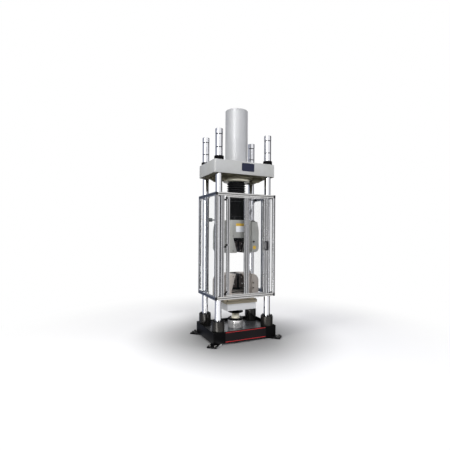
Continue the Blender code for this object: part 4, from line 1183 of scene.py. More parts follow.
@dataclass
class Actuator:
    """Cylinder cover, gland, rod adaptor and bellows."""

    shop: Shop
    cover_edge: float = 0.006
    cover_wall: float = 0.004
    seam_below_top: float = 0.030
    seam_half: float = 0.0015
    seam_depth: float = 0.0012
    foot_fold: Pair = (0.001, 0.004)
    rod_radius: float = 0.0853
    spigot_radius: float = 0.1097
    flange_height: float = 0.035
    flange_rounds: Pair = (0.004, 0.006)
    adaptor_edge: float = 0.006
    adaptor_socket: float = 0.146
    groove_depth: float = 0.0025
    groove_width: float = 0.008
    groove_below_top: float = 0.036
    groove_above_foot: float = 0.050
    adaptor_screws: int = 10
    adaptor_screw_radius: float = 0.008
    adaptor_screw_height: float = 0.0055
    adaptor_screw_sunk: float = 0.004
    adaptor_screw_level: float = 0.024
    band_gap: float = 0.0005
    lug_half: Pair = (0.012, 0.007)
    pleats: int = 6
    pleat_steps: int = 12
    pleat_root: float = 0.110
    pleat_wall: float = 0.004
    cuff: float = 0.010
    cuff_step: float = 0.002

    def build(self) -> None:
        """Make every piece of the actuator."""
        self.shop.dress("piston_rod", "chrome")
        self.shop.dress("actuator_cylinder", "dark_steel")
        self.cover()
        self.gland()
        self.adaptor()
        self.band()
        self.bellows()

    def cover(self) -> None:
        """Tall rolled cover over the cylinder, with a folded lid seam and a foot flange."""
        low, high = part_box("cylinder_cover")
        radius, top = high.x, high.z
        inner, ceiling = radius - self.cover_wall, top - 2 * self.cover_wall
        seam = top - self.seam_below_top
        profile = [
            (0.0, top), *top_rim(radius, top, self.cover_edge, 5),
            (radius, seam + self.seam_half), (radius - self.seam_depth, seam),
            (radius, seam - self.seam_half),
            (radius, low.z + self.foot_fold[1]), (radius - self.foot_fold[0], low.z),
            (inner, low.z), (inner, ceiling), (0.0, ceiling),
        ]
        form = turned(profile, steps=160)
        self.shop.piece("rolled_cover", [(form, "silver_paint")], "silver_paint", "cylinder_cover")

    def gland(self) -> None:
        """Gland ring under the boss, with its spigot."""
        low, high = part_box("cylinder_gland")
        profile = [
            (self.rod_radius, high.z), (self.spigot_radius, high.z),
            (self.spigot_radius, low.z + self.flange_height),
            *top_rim(high.x, low.z + self.flange_height, self.flange_rounds[0]),
            *foot_rim(high.x, low.z, self.flange_rounds[1]),
            (self.rod_radius, low.z),
        ]
        form = turned(profile, steps=128, ring=True)
        self.shop.piece("gland_ring", [(form, "cream_paint")], "cream_paint", "cylinder_gland")

    def adaptor(self) -> None:
        """Black adaptor under the rod, with turned grooves and a ring of screws."""
        low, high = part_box("rod_adaptor")
        radius, bore, floor = high.x, self.rod_radius, high.z - self.adaptor_socket
        half, groove = self.groove_width / 2, high.x - self.groove_depth
        profile = [(0.0, floor), (bore, floor), (bore, high.z), *top_rim(radius, high.z, self.adaptor_edge)]
        for level in (high.z - self.groove_below_top, low.z + self.groove_above_foot):
            profile += [(radius, level + half), (groove, level + half * 0.7),
                        (groove, level - half * 0.7), (radius, level - half)]
        profile += [*foot_rim(radius, low.z, self.adaptor_edge), (0.0, low.z)]
        forms = [(turned(profile, steps=128), "black_paint")]
        for x, y in circle_places(1.0, self.adaptor_screws, 18):
            reach = radius - self.adaptor_screw_sunk
            spot = (x * reach, y * reach, low.z + self.adaptor_screw_level)
            screw = cap_screw(spot, self.adaptor_screw_radius, self.adaptor_screw_height, (x, y, 0.0))
            forms.append((screw, "dark_steel"))
        self.shop.piece("adaptor_drum", forms, "black_paint", "rod_adaptor", "ram")

    def band(self) -> None:
        """Clamp band that holds the bellows' foot, with a tightening screw."""
        low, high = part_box("bellows_clamp")
        out = high.x
        profile = tube(self.rod_radius, out - self.band_gap, low.z, high.z, 0.002, 2)
        middle = (low.z + high.z) / 2
        across, tall = self.lug_half
        lug = block((-across, out - 0.0065, middle - tall), (across, out, middle + tall), 0.002)
        forms = [(turned(profile, steps=128, ring=True), "dark_steel"), (lug, "bright_steel")]
        self.shop.piece("clamp_band", forms, "dark_steel", "bellows_clamp", "ram")

    def bellows(self) -> None:
        """Pleated rubber sleeve round the rod, with round folds and end cuffs."""
        low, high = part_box("bellows")
        fold = high.x - self.pleat_root
        span = high.z - low.z - 2 * self.cuff
        count = self.pleats * self.pleat_steps
        end = self.pleat_root + self.cuff_step
        profile = [(end, high.z), (end, high.z - self.cuff)]
        for number in range(1, count):
            share = number / count
            wave = (1 - math.cos(2 * math.pi * self.pleats * share)) / 2
            profile.append((self.pleat_root + fold * wave ** 0.8, high.z - self.cuff - span * share))
        profile += [(end, low.z + self.cuff), (end, low.z)]
        profile += [(radius - self.pleat_wall, level) for radius, level in reversed(profile)]
        form = turned(profile, steps=96, ring=True)
        made = self.shop.piece("pleated_bellows", [(form, "bellows_rubber")], "bellows_rubber", "bellows",
                               "", math.radians(60))
        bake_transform(made)


@dataclass
class LoadTrain:
    """Load cell, couplings, pedestal and flange under the lower grip."""

    shop: Shop
    cell_edge: float = 0.005
    waist_level: float = 0.030
    waist_depth: float = 0.003
    socket_level: float = 0.060
    flange_bolts: int = 10
    flange_circle: float = 0.092
    flange_bolt_radius: float = 0.0085
    flange_bolt_height: float = 0.010
    neck_rim: float = 0.010
    neck_hollow: float = 0.008
    hub_radius: float = 0.0465
    hub_fillet: float = 0.004
    disc_height: float = 0.0117
    small_edge: float = 0.002
    pedestal_edge: float = 0.006
    flange_edge: float = 0.004
    plate_screws: Pair = (0.215, 0.190)

    def build(self) -> None:
        """Make the load train from the base up."""
        self.cell()
        self.flange()
        self.neck()
        self.disc()
        self.pedestal()
        self.plate()

    def cell(self) -> None:
        """Low-profile load cell with a waist groove and a cable socket."""
        low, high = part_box("load_cell")
        radius, waist = high.x, low.z + self.waist_level
        profile = [
            (0.0, high.z), *top_rim(radius, high.z, self.cell_edge),
            (radius, waist + 0.004), (radius - self.waist_depth, waist + 0.002),
            (radius - self.waist_depth, waist - 0.002), (radius, waist - 0.004),
            *foot_rim(radius, low.z, self.small_edge, 3), (0.0, low.z),
        ]
        forms = [(turned(profile, steps=128), "bright_steel")]
        behind = (0.0, radius - 0.002, low.z + self.socket_level)
        for size, reach, finish in ((0.014, 0.014, "dark_steel"), (0.010, 0.022, "plastic_black")):
            socket = turned(rod(size, 0.0, reach, self.small_edge), behind, 32, axis=BACKWARD)
            forms.append((socket, finish))
        self.shop.piece("load_cell_body", forms, "bright_steel", "load_cell")

    def flange(self) -> None:
        """Black flange on the load cell with a ring of screws."""
        low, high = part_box("cell_flange")
        forms = [(turned(rod(high.x, low.z, high.z, 0.003), steps=128), "black_paint")]
        for x, y in circle_places(self.flange_circle, self.flange_bolts, 11):
            head = cap_screw((x, y, high.z - FIT), self.flange_bolt_radius, self.flange_bolt_height)
            forms.append((head, "dark_steel"))
        self.shop.piece("load_cell_flange", forms, "black_paint", "cell_flange")

    def neck(self) -> None:
        """Cream neck with hollow fillets at both ends."""
        low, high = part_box("coupling_neck")
        radius, hollow = high.x, self.neck_hollow
        top, foot = high.z - self.neck_rim, low.z + self.neck_rim
        profile = [
            (0.0, high.z), (radius, high.z), (radius, top),
            *arc((radius, top - hollow), hollow, 90, 180, 5),
            *arc((radius, foot + hollow), hollow, 180, 270, 5),
            (radius, foot), (radius, low.z), (0.0, low.z),
        ]
        self.shop.piece("neck_spool", [(turned(profile, steps=96), "cream_paint")], "cream_paint",
                        "coupling_neck")

    def disc(self) -> None:
        """Dark disc with its hub under the pedestal."""
        low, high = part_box("coupling_disc")
        hub, hollow, top = self.hub_radius, self.hub_fillet, low.z + self.disc_height
        profile = [
            (0.0, high.z), (hub, high.z), *arc((hub + hollow, top + hollow), hollow, 180, 270, 4),
            *top_rim(high.x, top, self.small_edge, 3), *foot_rim(high.x, low.z, self.small_edge, 3),
            (0.0, low.z),
        ]
        self.shop.piece("hub_disc", [(turned(profile, steps=128), "black_paint")], "black_paint",
                        "coupling_disc")

    def pedestal(self) -> None:
        """Off-white block with a bolt in each side."""
        low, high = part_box("grip_pedestal")
        forms = [(block(tuple(low), tuple(high), self.pedestal_edge, 3), "off_white")]
        for side in Side:
            spot = (side.value * (high.x - 0.0015), 0.0, (low.z + high.z) / 2 - 0.010)
            forms.append((hex_bolt(spot, 0.011, 0.009, (side.value, 0.0, 0.0)), "dark_steel"))
        self.shop.piece("pedestal_block", forms, "off_white", "grip_pedestal")

    def plate(self) -> None:
        """Flange on the pedestal with four screws, painted a darker olive for the shade under the lower
        grip.
        """
        low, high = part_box("lower_grip_flange")
        forms = [(block(tuple(low), tuple(high), self.flange_edge, 3), "painted_shade_cream")]
        reach, depth = self.plate_screws
        for x in (-reach, reach):
            for y in (-depth, depth):
                forms.append((cap_screw((x, y, high.z - FIT), 0.010, 0.010), "dark_steel"))
        self.shop.piece("grip_flange_plate", forms, "cream_paint", "lower_grip_flange")


@dataclass
class RodClamp:
    """Clamp block on the rear left column, with the short rod that it holds."""

    shop: Shop
    level: float = 1.656
    band_height: float = 0.016
    band_radius: float = 0.048
    block_height: float = 0.052
    block_half: float = 0.024
    block_reach: float = 0.098
    rod_radius: float = 0.008
    rod_root: float = 0.010
    rod_end: float = 0.178

    def build(self) -> None:
        """Make the band round the column, the block beside it, its screws and its rod."""
        centre, radius = upright("column_rear_left")
        bore, level = radius + FIT, self.level
        band = tube(bore, self.band_radius, level - self.band_height / 2, level + self.band_height / 2,
                    0.001, 2)
        start, end = centre[0] + bore + FIT, centre[0] + self.block_reach
        front, back = centre[1] - self.block_half, centre[1] + self.block_half
        body = block((start, front, level - self.block_height / 2),
                     (end, back, level + self.block_height / 2), 0.004)
        bar = turned(rod(self.rod_radius, 0.0, self.rod_end - self.block_reach + self.rod_root, 0.001),
                     (end - self.rod_root, centre[1], level), 24, axis=RIGHTWARD)
        forms = [(turned(band, centre, 64, ring=True), "bright_steel"), (body, "plastic_black"),
                 (bar, "dark_steel")]
        for x in (start + 0.014, end - 0.014):
            forms.append((cap_screw((x, front, level), 0.0055, 0.005, FORWARD, 12), "bright_steel"))
        self.shop.piece("rod_clamp", forms, "black_paint")


@dataclass
class Grip:
    """A hydraulic wedge grip: body, side housings, jaws and what is fixed on them.

    Attributes:
        shop: Where its pieces are finished.
        word: "upper" or "lower".
        body_name: The body that the grip rides on.
        paint: Its paint.
        pocket_wide: Half width of the pocket where it is widest.
        pocket_depth: Depth of the pocket from its mouth.
        opens: Which way the pocket opens, 1 for up and -1 for down.
        top_round: Radius of the housings' upper outer corner.
        bottom_round: Radius of the housings' lower outer corner.
        taper: How far the housings' upper edge is drawn in.
        taper_height: Height over which it is.
    """

    shop: Shop
    word: str
    body_name: str
    paint: str
    pocket_wide: float
    pocket_depth: float
    opens: int
    top_round: float
    bottom_round: float
    taper: float = 0.0
    taper_height: float = 0.0
    taper_round: float = 0.040
    angle: float = math.radians(15)
    corner_x: float = 0.065
    corner_y: float = 0.055
    edge: float = 0.004
    housing_edge: float = 0.010
    pocket_wall: float = 0.012
    pocket_past: float = 0.05
    lip_height: float = 0.012
    lip_depth: float = 0.020
    liner: float = 0.003
    liner_gap: float = 0.002
    screw_inset: float = 0.028
    screw_beside: float = 0.016
    cover_screws: Pair = (0.075, 0.055)
    tooth_pitch: float = 0.005
    tooth_depth: float = 0.0012
    jaw_edge: float = 0.0012
    jaw_screws: float = 0.045

    def build(self) -> None:
        """Make the grip's body, housings and jaws."""
        self.body()
        for side in Side:
            self.housing(side)
            self.jaw(side)

    def levels(self) -> Pair:
        """Find where the pocket starts and ends.

        Returns:
            Level of its closed end and of its mouth.
        """
        low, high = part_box(self.word + "_grip_body")
        mouth = high.z if self.opens > 0 else low.z
        return mouth - self.opens * self.pocket_depth, mouth

    def wall(self, level: float) -> float:
        """Half width of the pocket at a level."""
        return self.pocket_wide - abs(level - self.levels()[0]) * math.tan(self.angle)

    def body(self) -> None:
        """Body with its corners cut off and the wedge pocket in its front."""
        name = self.word + "_grip_body"
        low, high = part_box(name)
        quarter = [(high.x - self.corner_x, high.y), (high.x, high.y - self.corner_y)]
        right = [(a, -b) for a, b in quarter] + quarter[::-1]
        plan = right + [(-a, b) for a, b in reversed(right)]
        closed, mouth = self.levels()
        past, inner = mouth + self.opens * self.pocket_past, high.y - self.pocket_wall
        pocket = [(-self.pocket_wide, closed), (self.pocket_wide, closed),
                  (self.wall(past), past), (-self.wall(past), past)]
        form = carve(prism(plan, Plane.XY, low.z, high.z), [prism(pocket, Plane.XZ, 2 * low.y, inner)])
        forms = [(soften(form, self.edge, 3), self.paint), (self.lip(low.y, closed), "black_paint"),
                 (self.pocket_shade_liner(inner, closed, mouth), "black_paint"), *self.face_screws(low, high)]
        self.shop.piece(self.word + "_grip_casting", forms, self.paint, name, self.body_name)

    def lip(self, front: float, closed: float) -> Form:
        """Dark guide plate across the front of the pocket's closed end.

        Args:
            front: Y of the body's front.
            closed: Level of the pocket's closed end.

        Returns:
            The closed form.
        """
        low, high = sorted((closed - self.opens * 0.0005, closed + self.opens * self.lip_height))
        half = self.wall(low if self.opens < 0 else high) - 0.001
        return block((-half, front + 0.0004, low), (half, front + self.lip_depth, high), 0.001)

    def pocket_shade_liner(self, inner: float, closed: float, mouth: float) -> Form:
        """Black sheet on the back wall of the pocket, which paints the shade inside the pocket.

        Args:
            inner: Y of the back wall.
            closed: Level of the pocket's closed end.
            mouth: Level of its mouth.

        Returns:
            The closed form.
        """
        near, far = closed + self.opens * 0.002, mouth - self.opens * 0.003
        wide, slim = self.wall(near) - self.liner_gap, self.wall(far) - self.liner_gap
        outline = [(-wide, near), (wide, near), (slim, far), (-slim, far)]
        return prism(outline, Plane.XZ, inner - self.liner, inner + FIT)

    def face_screws(self, low: Vector, high: Vector) -> Forms:
        """Socket screws sunk a little into the body's front and back, beside the pocket.

        Args:
            low: The body's lowest corner.
            high: The body's highest corner.

        Returns:
            The screws with their finish.
        """
        near = self.levels()[1] - self.opens * self.screw_inset
        across = high.x - self.corner_x - self.screw_beside
        made = []
        for face, direction in ((low.y, FORWARD), (high.y, BACKWARD)):
            for x in (-across, across):
                for level in (near, near - self.opens * self.pocket_depth):
                    if low.z + 0.01 < level < high.z - 0.01:
                        screw = cap_screw((x, face * 0.985, level), 0.0075, 0.0030, direction)
                        made.append((screw, "dark_steel"))
        return made

    def housing(self, side: Side) -> None:
        """Side housing with big rounds and screws in its outer face.

        Args:
            side: The side that it is on.
        """
        name = f"{self.word}_housing_{side.word}"
        low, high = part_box(name)
        near, far = sorted((low.x, high.x), key=abs)
        top = [(far - side.value * self.taper, high.z, self.top_round)]
        if self.taper:
            top.append((far, high.z - self.taper_height, self.taper_round))
        corners = [(near, high.z, 0.0), *top, (far, low.z, self.bottom_round), (near, low.z, 0.0)]
        form = prism(fillet(corners, 14), Plane.XZ, low.y, high.y)
        forms = [(soften(form, self.housing_edge, 4, level_in(1)), self.paint)]
        reach, inset = self.cover_screws
        middle, half = (low.z + high.z) / 2, (high.z - low.z) / 2 - inset
        for rise in (-half, 0.0, half):
            for across in (-reach, reach):
                spot = (far - side.value * 0.0015, across, middle + rise * 0.8)
                screw = cap_screw(spot, 0.0085, 0.0015 + FIT, (side.value, 0.0, 0.0))
                forms.append((screw, "dark_steel"))
        self.shop.piece(name + "_shell", forms, self.paint, name, self.body_name)

    def jaw(self, side: Side) -> None:
        """Wedge jaw with a toothed face towards the specimen.

        Args:
            side: The side that it is on.
        """
        name = f"{self.word}_jaw_{side.word}"
        low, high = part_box(name)
        way, pitch = side.value, self.tooth_pitch
        near = min(abs(low.x), abs(high.x))
        clearance = FIT / math.cos(self.angle)
        root = near + self.tooth_depth
        outline = [(way * (self.wall(high.z) - clearance), high.z),
                   (way * (self.wall(low.z) - clearance), low.z), (way * root, low.z)]
        teeth = int((high.z - low.z - 2 * pitch) / pitch)
        start = (low.z + high.z - teeth * pitch) / 2
        for foot in (start + tooth * pitch for tooth in range(teeth)):
            outline += [(way * root, foot), (way * near, foot + pitch / 2)]
        outline += [(way * root, start + teeth * pitch), (way * root, high.z)]
        form = prism(outline, Plane.XZ, low.y, high.y)
        soften(form, self.jaw_edge, 2, lambda e: min(abs(v.co.x) for v in e.verts) > root + FIT)
        forms = [(form, "jaw_steel")]
        middle = (low.z + high.z) / 2
        for level in (middle - self.jaw_screws, middle + self.jaw_screws):
            spot = (way * (near + self.wall(level)) / 2, low.y + 0.0005, level)
            forms.append((cap_screw(spot, 0.0065, 0.0008, FORWARD), "bright_steel"))
        self.shop.piece(name + "_wedge", forms, "jaw_steel", name, name + "_body")


@dataclass
class GripTrim:
    """Blank label, plain disc and hydraulic fittings on the two grips."""

    shop: Shop
    label_half: float = 0.072
    label_low: float = 1.480
    label_high: float = 1.600
    band_height: float = 0.037
    label_thickness: float = 0.0006
    disc_x: float = 0.236
    disc_level: float = 1.262
    disc_radius: float = 0.027
    manifold_x: Pair = (0.206, 0.282)
    manifold_half: float = 0.060
    manifold_height: float = 0.016
    manifold_ports: float = 0.035
    upper_port: Pair = (0.217, 1.346)
    lower_ports_x: float = 0.214
    lower_ports: Pair = (0.690, 0.760)

    def build(self) -> None:
        """Make the trim of both grips."""
        self.label()
        self.disc()
        self.upper_fittings()
        self.lower_fittings()

    def label(self) -> None:
        """Blank white label with a plain yellow band at its top."""
        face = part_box("upper_grip_body")[0].y
        split = self.label_high - self.band_height
        bands = ((self.label_low, split, "label_white"), (split, self.label_high, "label_yellow"))
        forms = []
        for low, high, finish in bands:
            sheet = block((-self.label_half, face - self.label_thickness, low),
                          (self.label_half, face + FIT, high), 0.0002, 1)
            forms.append((sheet, finish))
        self.shop.piece("grip_label", forms, "grip_grey", body="ram")

    def disc(self) -> None:
        """Plain yellow disc on the right housing of the upper grip."""
        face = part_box("upper_housing_right")[0].y
        profile = rod(self.disc_radius, -FIT, self.label_thickness, FIT)
        form = turned(profile, (self.disc_x, face, self.disc_level), 40, axis=FORWARD)
        self.shop.piece("grip_disc", [(form, "label_yellow")], "grip_grey", body="ram")

    def fitting(self, spot: Place, direction: Place, size: float) -> Forms:
        """Hydraulic coupling: hexagon, collar and cap.

        Args:
            spot: Its foot.
            direction: Where it points.
            size: Radius of its hexagon.

        Returns:
            Its forms with their finishes.
        """
        made = [(hex_bolt(spot, size, size * 0.8, direction), "olive_fitting")]
        for radius, height, edge, start, finish in (
            (0.62, 0.9, 0.08, 0.8, "bright_steel"), (0.75, 0.7, 0.12, 1.5, "plastic_black"),
        ):
            foot = tuple(Vector(spot) + Vector(direction) * size * start)
            profile = rod(size * radius, 0.0, size * height, size * edge)
            made.append((turned(profile, foot, 24, axis=direction), finish))
        return made

    def upper_fittings(self) -> None:
        """Couplings on the upper grip: one on the right housing's front, two on a block on its top."""
        low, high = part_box("upper_housing_right")
        forms = self.fitting((self.upper_port[0], low.y, self.upper_port[1]), FORWARD, 0.012)
        left, right = self.manifold_x
        foot = high.z - 0.002
        top = foot + self.manifold_height
        manifold = block((left, -self.manifold_half, foot), (right, self.manifold_half, top), 0.003)
        forms.append((manifold, "black_paint"))
        for y in (-self.manifold_ports, self.manifold_ports):
            forms += self.fitting(((left + right) / 2, y, top), UP, 0.0075)
        self.shop.piece("upper_grip_fittings", forms, "dark_steel", body="ram")

    def lower_fittings(self) -> None:
        """Couplings down the front of the lower grip's right housing."""
        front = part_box("lower_housing_right")[0].y
        forms = []
        for level in self.lower_ports:
            forms += self.fitting((self.lower_ports_x, front, level), FORWARD, 0.011)
        self.shop.piece("lower_grip_fittings", forms, "dark_steel")


@dataclass
class Guard:
    """Aluminium profile guard with clear panes, hinged door, handle and keeper."""

    shop: Shop
    sill_height: float = 0.044
    head_height: float = 0.042
    post: float = 0.040
    mullion: float = 0.040
    depth: float = 0.030
    front_inset: float = 0.016
    end_stile: float = 0.010
    hinge_stile: Pair = (-0.375, -0.326)
    latch_stile: Pair = (0.315, 0.349)
    door_gap: float = 0.016
    door_stile: float = 0.044
    door_rail: float = 0.014
    door_mullion: Pair = (-0.030, 0.035)
    slot_half: float = 0.0048
    slot_lip: float = 0.0018
    slot_room: float = 0.0078
    slot_depth: float = 0.0090
    slot_pitch: float = 0.032
    core: float = 0.004
    strip_below: float = 0.0005
    strip_thickness: float = 0.0009
    corner: float = 0.0015
    cap: float = 0.003
    cap_edge: float = 0.0012
    clamp_radius: float = 0.056
    clamp_height: float = 0.030
    clamp_inset: float = 0.002
    clamp_screws: float = 0.014
    bracket_reach: float = 0.026
    bracket_width: float = 0.022
    bracket_wall: float = 0.004
    keeper_inset: float = 0.004
    keeper_width: float = 0.017
    keeper_screws: float = 0.014
    handle_slim: float = 0.014
    handle_bar: float = 0.012
    handle_rounds: Pair = (0.012, 0.006)
    knuckle: float = 0.0055
    knuckle_edge: float = 0.0008
    pin: float = 0.0026
    leaf: float = 0.003
    leaf_reach: float = 0.030
    leaf_back: float = 0.006
    strap_reach: float = 0.024
    strap_gap: float = 0.004
    screw_share: float = 0.62
    screw_inset: float = 0.006

    def build(self) -> None:
        """Make the guard's frames, panes, hinges, door and handle."""
        for side in Side:
            self.side_frame(side)
            self.pane("guard_pane_" + side.word, "frame")
        self.front_frame()
        self.hinges()
        self.door()
        self.pane("door_pane", "door")
        self.handle()

    def slots(self, width: float) -> list[float]:
        """Share the slots over a face.

        Args:
            width: The face's width.

        Returns:
            Their places from its middle.
        """
        if width < 2 * self.slot_room + 4 * self.corner:
            return []
        count = max(1, round(width / self.slot_pitch - 0.3))
        return [(index - (count - 1) / 2) * self.slot_pitch for index in range(count)]

    def faces(self, width: float, depth: float) -> Iterable[tuple[float, float, Matrix]]:
        """Go round the four faces of a profile.

        Args:
            width: The profile's size along the first axis.
            depth: Its size along the second axis.

        Yields:
            A face's width, its distance from the opposite face, and its turn.
        """
        for turn in range(4):
            along, out = (depth, width) if turn % 2 else (width, depth)
            yield along, out, Matrix.Rotation(math.pi / 2 * turn, 2)

    def section(self, width: float, depth: float) -> Outline:
        """Outline of a slotted profile round its own middle.

        Args:
            width: Its size along the first axis.
            depth: Its size along the second axis.

        Returns:
            The outline's points, anticlockwise.
        """
        points: Outline = []
        half, lip, room = self.slot_half, self.slot_lip, self.slot_room
        for along, out, spin in self.faces(width, depth):
            floor = min(self.slot_depth, out / 2 - self.core)
            flank = [(half, 0.0), (half, lip), (room, lip), (room, lip * 2), (half, floor)]
            face: Outline = [(-along / 2 + self.corner, 0.0)]
            for place in self.slots(along):
                face += [(place - a, b) for a, b in flank] + [(place + a, b) for a, b in reversed(flank)]
            face.append((along / 2 - self.corner, 0.0))
            points += [tuple(spin @ Vector((a, b - out / 2))) for a, b in face]
        return points

    def bar(self, plane: Plane, low: Pair, high: Pair, start: float, end: float, finish: str) -> Forms:
        """Slotted bar whose section lies in a plane, with a dark strip in each slot.

        Args:
            plane: The plane of its section.
            low: Lowest corner of its section.
            high: Highest corner of its section.
            start: Where the bar starts along the outward axis.
            end: Where it ends.
            finish: The bar's finish.

        Returns:
            The closed forms with their finishes.
        """
        middle = Vector(((low[0] + high[0]) / 2, (low[1] + high[1]) / 2))
        width, depth = high[0] - low[0], high[1] - low[1]
        outline = [tuple(Vector(spot) + middle) for spot in self.section(width, depth)]
        made = [(prism(outline, plane, start, end), finish)]
        for along, out, spin in self.faces(width, depth):
            near = self.strip_below - out / 2
            far = near + self.strip_thickness
            for place in self.slots(along):
                left, right = place - self.slot_half, place + self.slot_half
                corners = ((left, near), (right, near), (right, far), (left, far))
                strip = [tuple(spin @ Vector(spot) + middle) for spot in corners]
                made.append((prism(strip, plane, start + FIT, end - FIT), "plastic_black"))
        return made

    def side_frame(self, side: Side) -> None:
        """Side frame: two rails, two posts, a mullion, clamps and corner brackets.

        Args:
            side: The side that it is on.
        """
        name = "guard_side_" + side.word
        low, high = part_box(name)
        out = high.x if side is Side.RIGHT else low.x
        near, far = sorted((out, out - side.value * self.depth))
        sill, head = low.z + self.sill_height, high.z - self.head_height
        start, end = low.y + self.cap, high.y - self.cap
        forms = []
        # The side rails take the darker aluminium copy, which is painted shade.
        for first, last in ((low.z, sill), (head, high.z)):
            forms += self.bar(Plane.XZ, (near, first), (far, last), start, end, "aluminium_along_painted_shade")
            for front, back in ((low.y, start), (end, high.y)):
                cap = block((near, front, first), (far, back, last), self.cap_edge)
                forms.append((cap, "plastic_black"))
        uprights = ((low.y, low.y + self.post), (-self.mullion / 2, self.mullion / 2),
                    (high.y - self.post, high.y))
        for first, last in uprights:
            forms += self.bar(Plane.XY, (near, first), (far, last), sill, head, "aluminium")
        for (_, first), (last, _) in zip(uprights, uprights[1:]):
            forms += self.brackets((near + far) / 2, (first, last), (sill, head))
        for corner in Corner:
            if corner.value[0] == side.value:
                forms += self.column_clamps(corner, side, low.z, high.z)
        self.shop.piece(name + "_profiles", forms, "aluminium", name)

    def brackets(self, middle: float, window: Pair, levels: Pair) -> Forms:
        """Cast angle brackets in the corners of a side window.

        Args:
            middle: Middle of the profiles in X.
            window: Start and end of the window in Y.
            levels: Bottom and top of the window.

        Returns:
            The brackets with their finish.
        """
        made = []
        wall, reach, half = self.bracket_wall, self.bracket_reach, self.bracket_width / 2
        gusset = ((0.0, 0.0), (reach, 0.0), (reach, wall), (wall, reach), (0.0, reach))
        for place, way in zip(window, (1, -1)):
            for level, up in zip(levels, (1, -1)):
                outline = [(place + way * a, level + up * b) for a, b in gusset]
                form = prism(outline, Plane.YZ, middle - half, middle + half)
                made.append((soften(form, 0.001, 1), "bright_steel"))
        return made

    def column_clamps(self, corner: Corner, side: Side, bottom: float, top: float) -> Forms:
        """Two clamp rings that hold the side frame to a column.

        Args:
            corner: The column's corner.
            side: The side that the frame is on.
            bottom: Bottom of the frame.
            top: Top of the frame.

        Returns:
            The clamps and screws with their finishes.
        """
        centre, radius = upright("column_" + corner.word)
        way = side.value
        made = []
        for level in (bottom + self.clamp_inset, top - self.clamp_inset - self.clamp_height):
            profile = tube(radius + FIT, self.clamp_radius, level, level + self.clamp_height, 0.002, 2)
            made.append((turned(profile, centre, ring=True), "aluminium"))
            for y in (centre[1] - self.clamp_screws, centre[1] + self.clamp_screws):
                spot = (centre[0] - way * self.clamp_radius + way * 0.004, y, level + self.clamp_height / 2)
                made.append((cap_screw(spot, 0.005, 0.005, (-way, 0.0, 0.0), 12), "dark_steel"))
        return made

    def pane(self, name: str, body: str) -> None:
        """Clear pane with polished edges."""
        form = block(*map(tuple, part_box(name)), 0.0005, 1)
        self.shop.piece(name + "_sheet", [(form, "clear_panel")], "clear_panel", name, body)

    def front_frame(self) -> None:
        """Front frame: rails, end, hinge and latch stiles, and the keeper of the latch."""
        low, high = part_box("guard_front")
        front = low.y + self.front_inset
        back = front + self.depth
        sill, head = low.z + self.sill_height, high.z - self.head_height
        forms = []
        # The front rails take the lighter aluminium copy, which is painted light.
        for first, last in ((low.z, sill), (head, high.z)):
            forms += self.bar(Plane.YZ, (front, first), (back, last), low.x, high.x, "aluminium_across_painted_light")
        ends = ((low.x, low.x + self.end_stile), (high.x - self.end_stile, high.x))
        for first, last in (ends[0], self.hinge_stile, self.latch_stile, ends[1]):
            forms += self.bar(Plane.XY, (first, front), (last, back), sill, head, "aluminium")
        bottom, top = (corner.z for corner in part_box("door_handle"))
        left, right = self.latch_stile[0] + self.keeper_inset, self.latch_stile[1] - self.keeper_inset
        seam = left + self.keeper_width
        keeper = block((left, low.y, bottom), (seam, front + 0.002, top), 0.003)
        strike = block((seam, low.y + 0.001, bottom), (right, front + 0.002, top), 0.002)
        forms += [(keeper, "plastic_black"), (strike, "aluminium")]
        for level in (bottom + self.keeper_screws, top - self.keeper_screws):
            spot = ((left + seam) / 2, low.y + 0.0004, level)
            forms.append((cap_screw(spot, 0.0045, 0.0004, FORWARD, 12), "bright_steel"))
        self.shop.piece("guard_front_profiles", forms, "aluminium", "guard_front")

    def hinge_axis(self) -> Pair:
        """X and Y of the door's hinge axis."""
        low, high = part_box("hinge_middle")
        return high.x - self.knuckle, low.y + self.knuckle

    def hinges(self) -> None:
        """Fixed halves of the hinges, each with a leaf, a knuckle and its pin."""
        x, y = self.hinge_axis()
        knuckle, edge, pin = self.knuckle, self.knuckle_edge, self.pin
        face = y + self.leaf_back - FIT
        for word in ("bottom", "middle", "top"):
            low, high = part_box("hinge_" + word)
            bottom, middle = low.z, (low.z + high.z) / 2
            profile = [(0.0, high.z), (pin, high.z), (pin, middle),
                       (knuckle - edge, middle), (knuckle, middle - edge),
                       (knuckle, bottom + edge), (knuckle - edge, bottom), (0.0, bottom)]
            forms = [(turned(profile, (x, y, 0.0), 28), "black_paint")]
            screws = (x - self.leaf_reach * self.screw_share, face - self.leaf)
            forms += self.leaf_forms((x, x - self.leaf_reach), face, (bottom, middle), screws)
            self.shop.piece(f"hinge_{word}_fixed", forms, "black_paint", "hinge_" + word)

    def leaf_forms(self, span: Pair, face: float, levels: Pair, screws: Pair) -> Forms:
        """Hinge leaf in two parts, a black strap and a bright end, with its two screws.

        Args:
            span: X at its knuckle and X at its end.
            face: Y of its back.
            levels: Its lower and its upper level.
            screws: X and Y of its screws' feet.

        Returns:
            Its forms with their finishes.
        """
        root, end = span
        bottom, top = levels
        split = root + math.copysign(self.strap_reach, end - root)
        made = []
        for first, last, finish in ((root, split, "plastic_black"), (split, end, "aluminium")):
            first, last = sorted((first, last))
            made.append((block((first, face - self.leaf, bottom), (last, face, top), 0.0006, 1), finish))
        for level in (bottom + self.screw_inset, top - self.screw_inset):
            made.append((cap_screw((*screws, level), 0.0028, 0.0012, FORWARD, 12), "dark_steel"))
        return made

